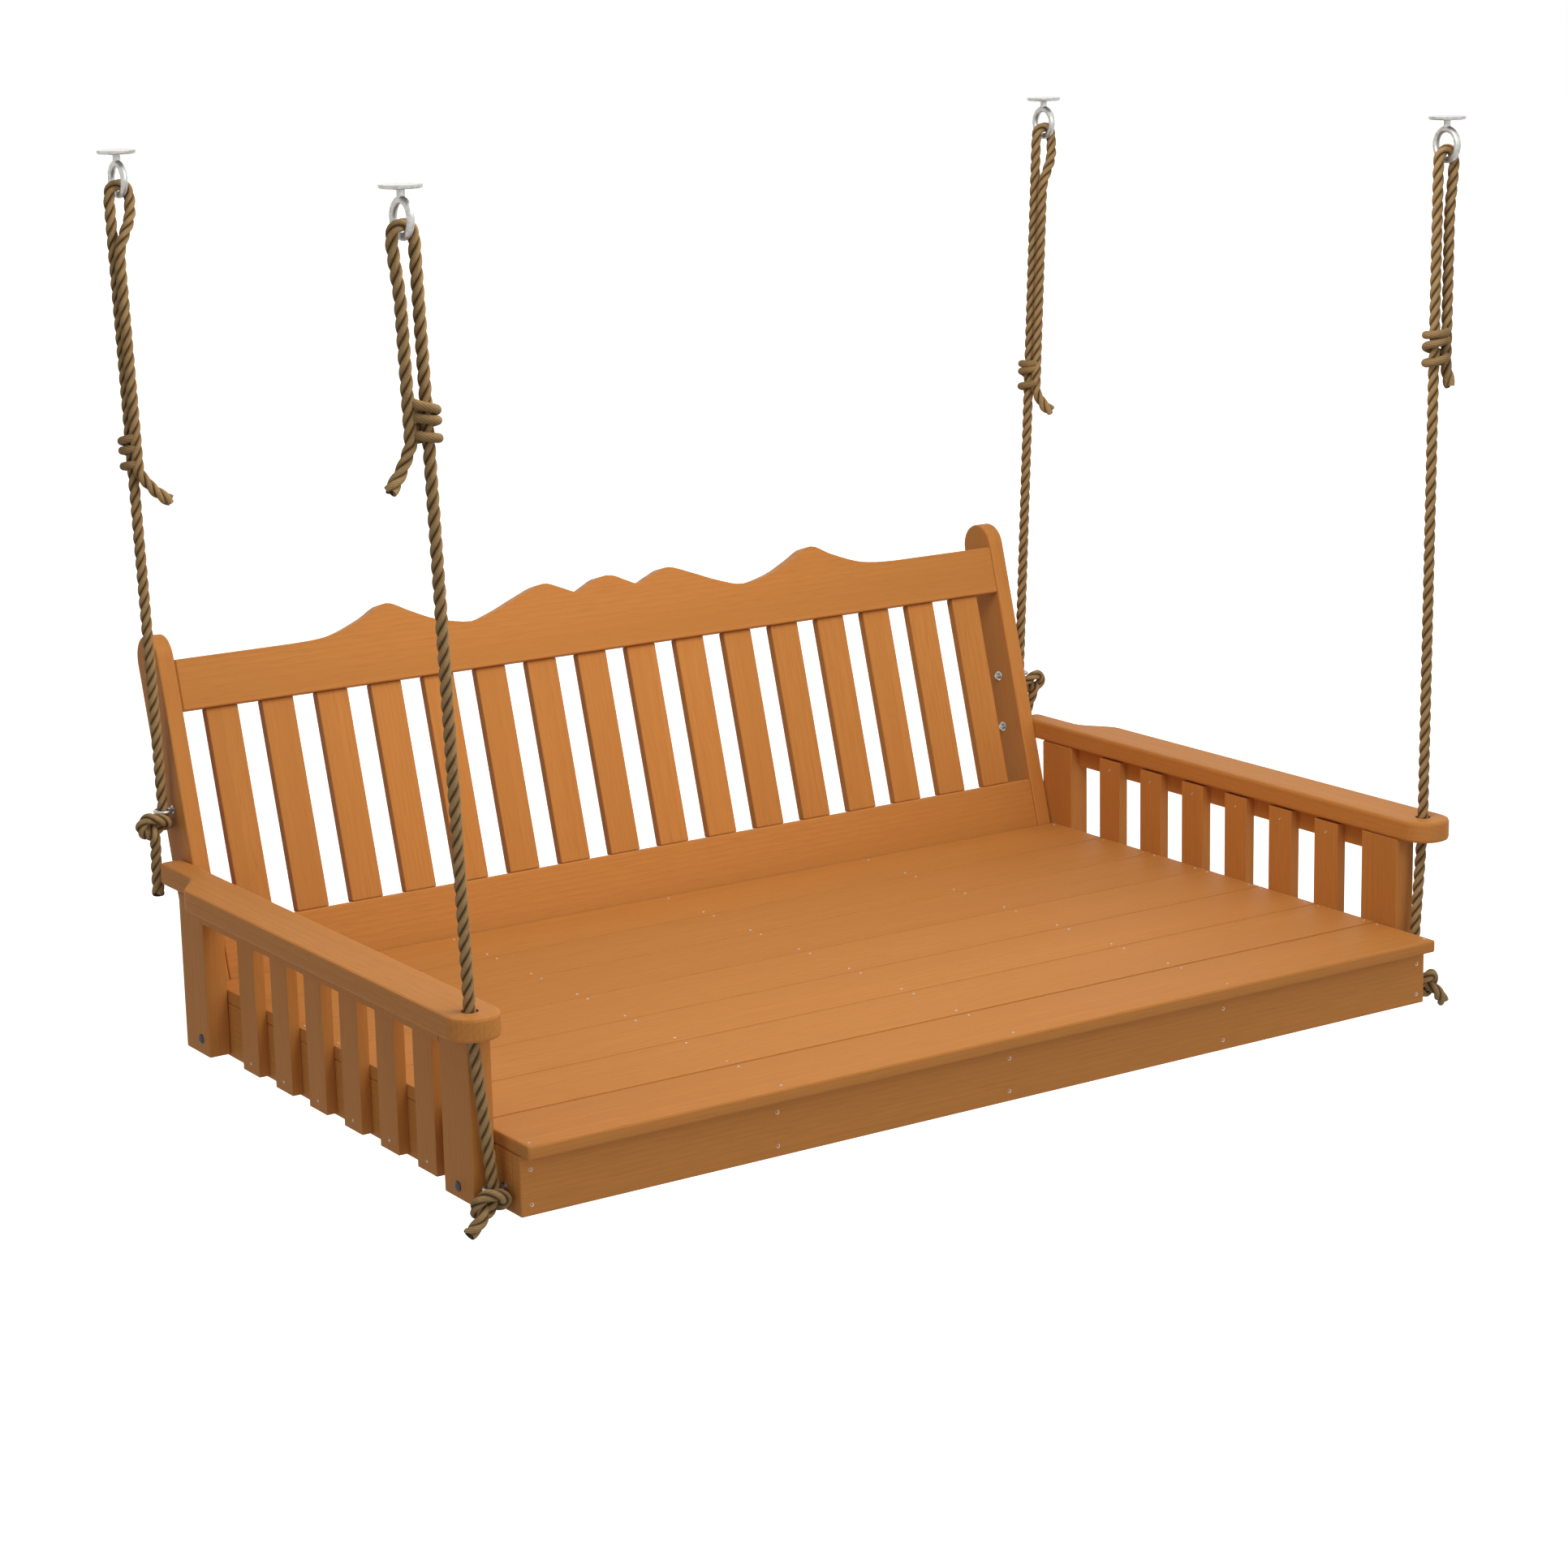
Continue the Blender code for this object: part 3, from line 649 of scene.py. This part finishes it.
def rope_finish(name):
    """Natural fibre: yarns along each strand, with painted shade between the strands."""
    look = bpy.context.scene.porch_rope
    made = Graph(name, 0.92)
    made.shader.inputs["Specular IOR Level"].default_value = 0.15
    spot = made.add("ShaderNodeTexCoord")
    depth = made.add("ShaderNodeAttribute", attribute_name="depth").outputs["Fac"]
    along = made.add("ShaderNodeSeparateXYZ", {"Vector": spot.outputs["UV"]})
    lean = made.add("ShaderNodeMath", {0: along.outputs["Y"]}, operation="MULTIPLY")
    lean.inputs[1].default_value = YARN_LEAN
    turned = made.add("ShaderNodeMath", {0: along.outputs["X"], 1: lean.outputs[0]}, operation="ADD")
    phase = made.add("ShaderNodeMath", {0: turned.outputs[0]}, operation="MULTIPLY")
    phase.inputs[1].default_value = 2 * pi * look.yarns
    wave = made.add("ShaderNodeMath", {0: phase.outputs[0]}, operation="SINE")
    yarns = made.ramp(wave.outputs[0], -1.0, 1.0)
    fuzz = made.add(
        "ShaderNodeTexNoise", {"Vector": spot.outputs["Object"]}, Scale=900.0, Detail=4.0
    ).outputs["Fac"]
    patch = made.add(
        "ShaderNodeTexNoise", {"Vector": spot.outputs["Object"]}, Scale=60.0, Detail=2.0
    ).outputs["Fac"]
    tone = made.blend(made.ramp(patch, 0.35, 0.75), look.light, scaled(look.light, 0.72))
    striped = made.blend(made.ramp(yarns, 0.50, 0.0), tone, scaled(look.light, 0.40))
    worn = made.blend(made.ramp(fuzz, 0.56, 0.74), striped, scaled(look.light, 1.28))
    # Painted shade: towards the rope's middle the strands darken to the crevice colour, where shade falls
    # between them.
    shaded = made.blend(made.ramp(depth, 0.66, 1.0), look.dark, worn)
    made.link(shaded, "Base Color")
    height = made.add("ShaderNodeMath", {0: yarns, 1: fuzz}, operation="ADD").outputs[0]
    made.bump(height, 0.55, 0.0007)
    return made.material


def burnt_finish(name):
    """Fibre melted and blackened at a cut end."""
    made = Graph(name, 0.8)
    made.shader.inputs["Specular IOR Level"].default_value = 0.15
    spot = made.add("ShaderNodeTexCoord").outputs["Object"]
    crust = made.add("ShaderNodeTexNoise", {"Vector": spot}, Scale=320.0, Detail=4.0).outputs["Fac"]
    color = made.blend(made.ramp(crust, 0.35, 0.7), (0.010, 0.006, 0.004), (0.040, 0.022, 0.012))
    made.link(color, "Base Color")
    made.bump(crust, 0.6, 0.0012)
    return made.material


def metal_finish(name, color, roughness, metallic=1.0):
    """Plated or blackened metal with faint blotches and fine scratches."""
    made = Graph(name, roughness, metallic)
    spot = made.add("ShaderNodeTexCoord").outputs["Object"]
    blotch = made.add(
        "ShaderNodeTexNoise", {"Vector": spot}, Scale=METAL_BLOTCHES, Detail=3.0
    ).outputs["Fac"]
    fine = made.add(
        "ShaderNodeTexNoise", {"Vector": spot}, Scale=METAL_BLOTCHES * 7, Detail=2.0
    ).outputs["Fac"]
    made.link(made.blend(made.ramp(blotch, 0.35, 0.7), color, scaled(color, 0.74)), "Base Color")
    rough = made.add(
        "ShaderNodeMapRange", {"Value": blotch}, **{"To Min": roughness - 0.07, "To Max": roughness + 0.1}
    )
    made.link(rough.outputs["Result"], "Roughness")
    made.bump(fine, 0.10, 0.0002)
    return made.material


# ---- fastenings -----------------------------------------------------------------------------------------


def turned_shape(profile, steps=24):
    """A solid turned round Z from (radius, height) points that start and end on the axis."""
    shape = bmesh.new()
    verts = [shape.verts.new((radius, 0, height)) for radius, height in profile]
    edges = [shape.edges.new(pair) for pair in zip(verts, verts[1:])]
    bmesh.ops.spin(
        shape, geom=verts + edges, cent=(0, 0, 0), axis=(0, 0, 1), angle=2 * pi, steps=steps,
        use_merge=True,
    )
    bmesh.ops.remove_doubles(shape, verts=shape.verts, dist=MERGE)
    return shape


def placed(shape, spot, direction):
    """The shape turned from +Z to a direction and moved to its spot."""
    bmesh.ops.transform(shape, matrix=aim(direction), verts=shape.verts)
    bmesh.ops.translate(shape, vec=spot, verts=shape.verts)
    return shape


def joined(shapes):
    """All the shapes as one bmesh."""
    whole = bmesh.new()
    for shape in shapes:
        step = bpy.data.meshes.new("step")
        bmesh.ops.recalc_face_normals(shape, faces=shape.faces)
        shape.to_mesh(step)
        shape.free()
        whole.from_mesh(step)
        bpy.data.meshes.remove(step)
    return whole


def screw_head(spot, direction, radius):
    """A countersunk head a little proud of the timber, with a driver recess."""
    shape = bmesh.new()
    bmesh.ops.create_cone(
        shape, cap_ends=True, segments=14, radius1=radius, radius2=radius * 0.84, depth=HEAD_DEPTH
    )
    top = max(shape.faces, key=lambda face: face.calc_center_median().z)
    bmesh.ops.inset_individual(shape, faces=[top], thickness=radius * 0.45)
    bmesh.ops.translate(shape, vec=(0, 0, -HEAD_RECESS), verts=top.verts)
    return placed(shape, Vector(spot), direction)


def washer(spot, direction, radius, thickness):
    """A flat disc with its outer edge turned off."""
    rim = (radius, thickness * 0.6)
    profile = [(0, 0), (radius, 0), rim, (radius - 0.0004, thickness), (0, thickness)]
    return placed(turned_shape(profile), Vector(spot), direction)


def hex_nut(spot, direction):
    """A six-sided nut with its corners turned off."""
    shape = bmesh.new()
    corner = NUT_WIDTH * 0.58
    bmesh.ops.create_cone(
        shape, cap_ends=True, segments=6, radius1=corner, radius2=corner, depth=NUT_HEIGHT
    )
    bmesh.ops.translate(shape, vec=(0, 0, NUT_HEIGHT / 2), verts=shape.verts)
    bmesh.ops.bevel(
        shape, geom=shape.verts[:], offset=NUT_EDGE, segments=2, profile=0.5, affect="VERTICES",
        material=-1,
    )
    return placed(shape, Vector(spot), direction)


def dome_head(spot, direction):
    """A round bolt head with a soft rim, sunk a little into what it holds."""
    profile = [(0, -0.001), (DOME_RADIUS, -0.001), (DOME_RADIUS, DOME_RIM)]
    for step in range(1, 8):
        angle = pi / 2 * step / 8
        profile.append((DOME_RADIUS * cos(angle), DOME_RIM + DOME_HEIGHT * sin(angle)))
    profile.append((0, DOME_RIM + DOME_HEIGHT))
    return placed(turned_shape(profile), Vector(spot), direction)


def rod_shape(start, end, radius):
    """A plain rod with both ends turned off."""
    start, end = Vector(start), Vector(end)
    length = (end - start).length
    edge = min(0.0008, radius / 3)
    profile = [(0, 0), (radius - edge, 0), (radius, edge)]
    profile += [(radius, length - edge), (radius - edge, length), (0, length)]
    return placed(turned_shape(profile, 20), start, end - start)


def threaded_end(start, end, radius):
    """A bolt's end with its thread as close ridges."""
    start, end = Vector(start), Vector(end)
    length = (end - start).length
    profile = [(0, 0)]
    for ridge in range(int(length / THREAD_PITCH)):
        profile += [(radius * 0.88, ridge * THREAD_PITCH), (radius, (ridge + 0.5) * THREAD_PITCH)]
    profile += [(radius * 0.8, length), (0, length)]
    return placed(turned_shape(profile, 20), start, end - start)


def ring_shape(middle, direction, radius, wire):
    """A closed round ring of wire."""
    shape = bmesh.new()
    made = bmesh.ops.create_circle(shape, cap_ends=False, segments=WIRE_STEPS, radius=wire)
    upright = Matrix.Rotation(pi / 2, 3, "X")
    bmesh.ops.rotate(shape, cent=(0, 0, 0), matrix=upright, verts=made["verts"])
    bmesh.ops.translate(shape, vec=(radius, 0, 0), verts=made["verts"])
    bmesh.ops.spin(
        shape, geom=shape.verts[:] + shape.edges[:], cent=(0, 0, 0), axis=(0, 0, 1), angle=2 * pi,
        steps=RING_STEPS, use_merge=True,
    )
    bmesh.ops.remove_doubles(shape, verts=shape.verts, dist=MERGE)
    return placed(shape, Vector(middle), direction)


def back_point(x, depth, along):
    """A point of the leaning back: depth behind its front face and distance up its slope."""
    back = depth * cos(RECLINE) + along * sin(RECLINE)
    up = along * cos(RECLINE) - depth * sin(RECLINE)
    return BACK_FOOT + Vector((x, back, up))


def bench(x, y, z):
    """A point by its distances from the middle of the seat's front lower edge."""
    return BENCH + Vector((x, y, z))


# ---- operators ------------------------------------------------------------------------------------------


class PORCH_OT_ropes(bpy.types.Operator):
    """Lays the four ropes with their knots, hitches and lashings"""

    bl_idname = "porch.ropes"
    bl_label = "Ropes"

    def execute(self, context):
        look = context.scene.porch_rope
        fibre = rope_finish("laid_rope")
        burnt = burnt_finish("burnt_rope_end")
        for label, side in (("left", -1), ("right", 1)):
            self.front(look, fibre, burnt, label, side)
            self.rear(look, fibre, burnt, label, side)
        return {"FINISHED"}

    def front(self, look, fibre, burnt, label, side):
        knot = knot_route(FRONT_KNOT_MIDDLE, FRONT_KNOT, side)
        upper = upper_route("front", side)
        hole = upper[0] - Vector((0, 0, ARM_HOLE_DROP))
        ring = knot[0]
        run = [ring.lerp(hole, step / 10) for step in range(1, 11)]
        points = list(reversed(knot)) + run + upper
        name = f"front_{label}_laid_rope"
        obj, line, length = rope_piece(name, points, fibre, ("start", "end"))
        bpy.context.scene.collection.objects.link(obj)
        tied = lashing("front", side, label, fibre, "front_ropes")
        if side < 0:
            end_cap(f"front_{label}_rope_end", line[::-1], burnt, "bench")
        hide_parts(f"front_{label}_rope", f"front_{label}_lower_rope")
        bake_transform(obj)

    def rear(self, look, fibre, burnt, label, side):
        low, top = fitting_points("rear", side)
        upper = upper_route("rear", side)
        upper[0] = rise_at(low, top, low.z + REAR_STUB - REAR_LAP)
        obj, line, length = rope_piece(f"rear_{label}_laid_rope", upper, fibre, ("end",))
        keep(obj, "rear_ropes")
        tied = lashing("rear", side, label, fibre, "rear_ropes")
        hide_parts(f"rear_{label}_rope")
        knot = knot_route(REAR_KNOT_MIDDLE, REAR_KNOT, side)
        knot.insert(0, rise_at(low, top, low.z + REAR_STUB))
        spin = pi - 2 * pi * REAR_LAP / look.lay
        obj, line, length = rope_piece(f"rear_{label}_overhand", knot, fibre, ("end",), spin)
        keep(obj, "bench")
        cap = end_cap(f"rear_{label}_rope_end", line, burnt, "bench")
        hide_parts(f"rear_{label}_knot")


class PORCH_OT_timber(bpy.types.Operator):
    """Stains every board, each with its own grain"""

    bl_idname = "porch.timber"
    bl_label = "Timber"

    def execute(self, context):
        for index, (name, node) in enumerate(sorted(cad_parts.items())):
            if name.endswith(("rope", "knot", "eye", "bolt")):
                continue
            low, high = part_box(name)
            middle = (Vector(low) + Vector(high)) / 2
            size = Vector(high) - Vector(low)
            leaning = name.startswith("back") or name.endswith("back_post")
            grain = "XYZ"[max(range(3), key=lambda axis: size[axis])]
            if name.endswith("arm_slats"):
                grain = "Z"
            if leaning and grain != "X":
                grain = "Z"
            swing = index * BOARD_TURN
            across = Vector((0.035 * cos(swing), 0.030 * sin(swing), -0.045 - 0.02 * sin(3 * swing)))
            pith = middle + across
            if grain == "Z":
                across = Vector((0.04 * cos(swing), 0.03 + 0.02 * sin(swing), 0.3 * sin(2 * swing)))
                pith = middle + across
            if grain == "Y":
                pith.y = middle.y + 0.2 * sin(2 * swing)
            if grain == "X":
                pith.x = middle.x + 0.4 * sin(2 * swing)
            turn = (-RECLINE, 0, 0) if leaning else (0, 0, 0)
            shade = 1 + SHADE_SPREAD * sin(5.1 * index)
            finish = timber(name + "_stain", pith, turn, grain, shade)
            for slot in node.material_slots:
                slot.material = finish
        return {"FINISHED"}


class PORCH_OT_eyes(bpy.types.Operator):
    """Makes the ceiling eyes and the four eye bolts on the bench"""

    bl_idname = "porch.eyes"
    bl_label = "Eyes"

    def execute(self, context):
        look = context.scene.porch_steel
        zinc = metal_finish("zinc_plate", scaled(look.zinc, ZINC_SHADE), 0.42)
        for label, side in (("left", -1), ("right", 1)):
            for spot in ("front", "rear"):
                self.ceiling(zinc, spot, label, side)
            self.bolt(look, zinc, f"front_{label}_eye_bolt", FRONT_RING, side, FRONT_SHANK, False)
            self.bolt(look, zinc, f"rear_{label}_eye_bolt", REAR_RING, side, REAR_SHANK, True)
        return {"FINISHED"}

    def ceiling(self, zinc, spot, label, side):
        eye_side = HITCHES[spot, side][0]
        _, top = fitting_points(spot, side)
        middle = Vector((top.x + eye_side * LOOP_RADIUS, top.y, 0))
        ring = middle + Vector((0, 0, top.z + CEILING_RING))
        plate = turned_shape(CEILING_PLATE, 48)
        bmesh.ops.translate(plate, vec=middle, verts=plate.verts)
        below = middle + Vector((0, 0, -0.020))
        stem = rod_shape(middle + Vector((0, 0, -0.004)), below, CEILING_STEM)
        screws = []
        for turn in (pi / 4, 3 * pi / 4, 5 * pi / 4, 7 * pi / 4):
            out = (PLATE_SCREW_CIRCLE * cos(turn), PLATE_SCREW_CIRCLE * sin(turn), -PLATE_SCREW_DEPTH)
            screws.append(screw_head(middle + Vector(out), (0, 0, -1), 0.0038))
        shape = joined([plate, stem, ring_shape(ring, (1, 0, 0), CEILING_RING, CEILING_WIRE), *screws])
        made = piece(f"{spot}_{label}_ceiling_ring", shape, zinc, "ceiling")
        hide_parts(f"{spot}_{label}_ceiling_eye")

    def bolt(self, look, zinc, node, middle, side, length, through):
        middle = Vector((side * middle.x, middle.y, middle.z))
        inward = Vector((-side, 0, 0))
        shapes = [ring_shape(middle, (0, 0, 1), look.eye, look.wire)]
        start = middle + inward * (look.eye - 0.001)
        shapes.append(rod_shape(start, middle + inward * (look.eye + length - 0.009), look.wire - 0.0003))
        face = HALF_SEAT - 0.002 if through else HALF_SEAT
        shapes.append(washer((side * (face + 0.0001), middle.y, middle.z), -inward, 0.0075, 0.0009))
        if through:
            inner = side * (face - BACK_POST_DEPTH)
            tip = middle + inward * (look.eye + length)
            shapes.append(
                washer((inner, middle.y, middle.z), inward, WASHER_RADIUS, WASHER_THICKNESS)
            )
            shapes.append(hex_nut((inner - side * NUT_SEAT, middle.y, middle.z), inward))
            shapes.append(threaded_end(tip - inward * 0.0100, tip, look.wire - 0.0003))
        made = piece(node + "_turned", joined(shapes), zinc, "bench")
        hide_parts(node)


class PORCH_OT_fastenings(bpy.types.Operator):
    """Drives the screws and bolts through the timber"""

    bl_idname = "porch.fastenings"
    bl_label = "Screws and bolts"

    def execute(self, context):
        look = context.scene.porch_steel
        zinc = metal_finish("zinc_screw", scaled(look.zinc, ZINC_SHADE), 0.5)
        black = metal_finish("black_bolt", (0.016, 0.013, 0.011), 0.6, 0.0)
        deck = []
        for number in range(DECK_BOARDS):
            low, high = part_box(f"deck_board_{number + 1}")
            for x in JOIST_ROWS:
                for y in (low[1] + DECK_SCREW_EDGE, high[1] - DECK_SCREW_EDGE):
                    spot = (x * DECK_ROW_SHARE, y, DECK_TOP - 0.0001)
                    deck.append(screw_head(spot, (0, 0, 1), 0.0027))
        piece("deck_screws", joined(deck), zinc, "bench")
        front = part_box("front_apron")[0].y
        apron = [
            screw_head((x, front + 0.0001, BENCH.z + z), (0, -1, 0), 0.0038)
            for x in APRON_ROWS
            for z in APRON_HEIGHTS
        ]
        piece("apron_screws", joined(apron), zinc, "bench")
        self.arm_screws(zinc)
        self.bolts(zinc, black)
        return {"FINISHED"}

    def arm_screws(self, zinc):
        shapes = []
        for side in (-1, 1):
            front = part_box("left_front_arm_post")[1].y + 0.0003 + ARM_SLAT_GAP
            for number in range(ARM_SLATS):
                middle = front + number * ARM_SLAT_PITCH + ARM_SLAT_HALF
                inside = (side * (HALF_SEAT + 0.0004), middle, BENCH.z + STRIP_SCREW_HEIGHT)
                shapes.append(screw_head(inside, (-side, 0, 0), 0.0028))
                outside = (side * (HALF_SEAT + ARM_SLAT_THICKNESS), middle, BENCH.z + RAIL_SCREW_HEIGHT)
                shapes.append(screw_head(outside, (side, 0, 0), 0.0028))
        piece("arm_slat_screws", joined(shapes), zinc, "bench")

    def bolts(self, zinc, black):
        heads = []
        nuts = []
        for side in (-1, 1):
            inward = Vector((-side, 0, 0))
            outside = side * (HALF_SEAT + POST_BOLTS_OUT)
            for y, z in POST_BOLTS:
                heads.append(dome_head(bench(outside, y, z), -inward))
            inset, depth, along = BACK_BOLT
            spot = back_point(side * (HALF_SEAT - inset), depth, along)
            nuts.append(washer(spot, inward, WASHER_RADIUS, WASHER_THICKNESS))
            nuts.append(hex_nut(spot + inward * NUT_SEAT, inward))
            nuts.append(threaded_end(spot, spot + inward * THREAD_LENGTH, BACK_BOLT_RADIUS))
        piece("arm_post_bolts", joined(heads), black, "bench")
        piece("back_post_nuts", joined(nuts), zinc, "bench")


class PORCH_OT_studio(bpy.types.Operator):
    """Sets the pale floor, the soft lights and the camera"""

    bl_idname = "porch.studio"
    bl_label = "Studio"

    def execute(self, context):
        look = context.scene.porch_studio
        self.floor(look)
        self.lights(look)
        data = bpy.data.cameras.new("porch_camera")
        data.lens = look.lens
        data.sensor_width = 36
        data.clip_end = FAR_VIEW
        camera = bpy.data.objects.new("porch_camera", data)
        pan, tilt, roll = (radians(turn) for turn in look.turn)
        camera.matrix_world = (
            Matrix.Translation(look.place)
            @ Matrix.Rotation(pan, 4, "Z")
            @ Matrix.Rotation(tilt, 4, "X")
            @ Matrix.Rotation(roll, 4, "Z")
        )
        context.scene.collection.objects.link(camera)
        context.scene.camera = camera
        context.scene.view_settings.view_transform = "Standard"
        return {"FINISHED"}

    def floor(self, look):
        shape = bmesh.new()
        bmesh.ops.create_grid(shape, x_segments=4, y_segments=4, size=FLOOR_SIZE)
        bmesh.ops.translate(shape, vec=(0, 0, look.floor), verts=shape.verts)
        data = bpy.data.meshes.new("studio_floor")
        shape.to_mesh(data)
        shape.free()
        made = Graph("studio_floor_paint", 0.9)
        spot = made.add("ShaderNodeTexCoord").outputs["Object"]
        cloud = made.add("ShaderNodeTexNoise", {"Vector": spot}, Scale=0.6).outputs["Fac"]
        made.link(made.blend(cloud, (0.93, 0.93, 0.93), (0.96, 0.96, 0.96)), "Base Color")
        made.shader.inputs["Emission Color"].default_value = (1, 1, 1, 1)
        made.shader.inputs["Emission Strength"].default_value = FLOOR_GLOW
        data.materials.append(made.material)
        floor = bpy.data.objects.new("studio_floor", data)
        floor.visible_diffuse = False
        floor.visible_shadow = False
        bpy.context.scene.collection.objects.link(floor)

    def lights(self, look):
        world = bpy.data.worlds.new("studio_air")
        world.use_nodes = True
        back = world.node_tree.nodes["Background"]
        back.inputs["Color"].default_value = (1, 1, 1, 1)
        back.inputs["Strength"].default_value = 1.0
        bpy.context.scene.world = world
        world.cycles_visibility.diffuse = False
        for name, toward, share, spread in FILLS:
            data = bpy.data.lights.new(name, "SUN")
            data.energy = look.sky * share
            data.angle = radians(spread)
            self.hang(name, data, Vector((0, 0, 3)), Vector(toward))
        data = bpy.data.lights.new("key_softbox", "AREA")
        data.shape = "RECTANGLE"
        data.size = KEY_SIZE
        data.size_y = KEY_SIZE
        data.energy = look.sun * KEY_SHARE
        place = Vector(KEY_PLACE)
        self.hang("key_softbox", data, place, place - bench(*KEY_TARGET))

    def hang(self, name, data, place, toward):
        lamp = bpy.data.objects.new(name, data)
        lamp.visible_camera = False
        turn = toward.to_track_quat("Z", "Y").to_matrix().to_4x4()
        lamp.matrix_world = Matrix.Translation(place) @ turn
        bpy.context.scene.collection.objects.link(lamp)


class PORCH_PT_panel(bpy.types.Panel):
    """Shows each group of the swing's settings with the buttons that build it"""

    bl_idname = "PORCH_PT_panel"
    bl_label = "Porch Swing"
    bl_space_type = "VIEW_3D"
    bl_region_type = "UI"
    bl_category = "Porch Swing"

    def draw(self, context):
        for group, steps in PANEL_ROWS:
            box = self.layout.box()
            settings = getattr(context.scene, group)
            for name in settings.bl_rna.properties.keys():
                if name not in ("rna_type", "name"):
                    box.prop(settings, name)
            for step in steps:
                box.operator(step.bl_idname)


PANEL_ROWS = (
    ("porch_rope", (PORCH_OT_ropes,)),
    ("porch_timber", (PORCH_OT_timber,)),
    ("porch_steel", (PORCH_OT_eyes, PORCH_OT_fastenings)),
    ("porch_studio", (PORCH_OT_studio,)),
)
GROUPS = {
    "porch_rope": PorchRope,
    "porch_timber": PorchTimber,
    "porch_steel": PorchSteel,
    "porch_studio": PorchStudio,
}
CLASSES = (
    *GROUPS.values(),
    PORCH_OT_studio,
    PORCH_OT_ropes,
    PORCH_OT_timber,
    PORCH_OT_eyes,
    PORCH_OT_fastenings,
    PORCH_PT_panel,
)


def register():
    for made in CLASSES:
        bpy.utils.register_class(made)
    for name, made in GROUPS.items():
        setattr(bpy.types.Scene, name, PointerProperty(type=made))


def unregister():
    for name in GROUPS:
        delattr(bpy.types.Scene, name)
    for made in reversed(CLASSES):
        bpy.utils.unregister_class(made)


def main():
    """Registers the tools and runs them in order."""
    register()
    bpy.ops.porch.studio()
    bpy.ops.porch.ropes()
    bpy.ops.porch.timber()
    bpy.ops.porch.eyes()
    bpy.ops.porch.fastenings()


if __name__ == "__main__":
    main()
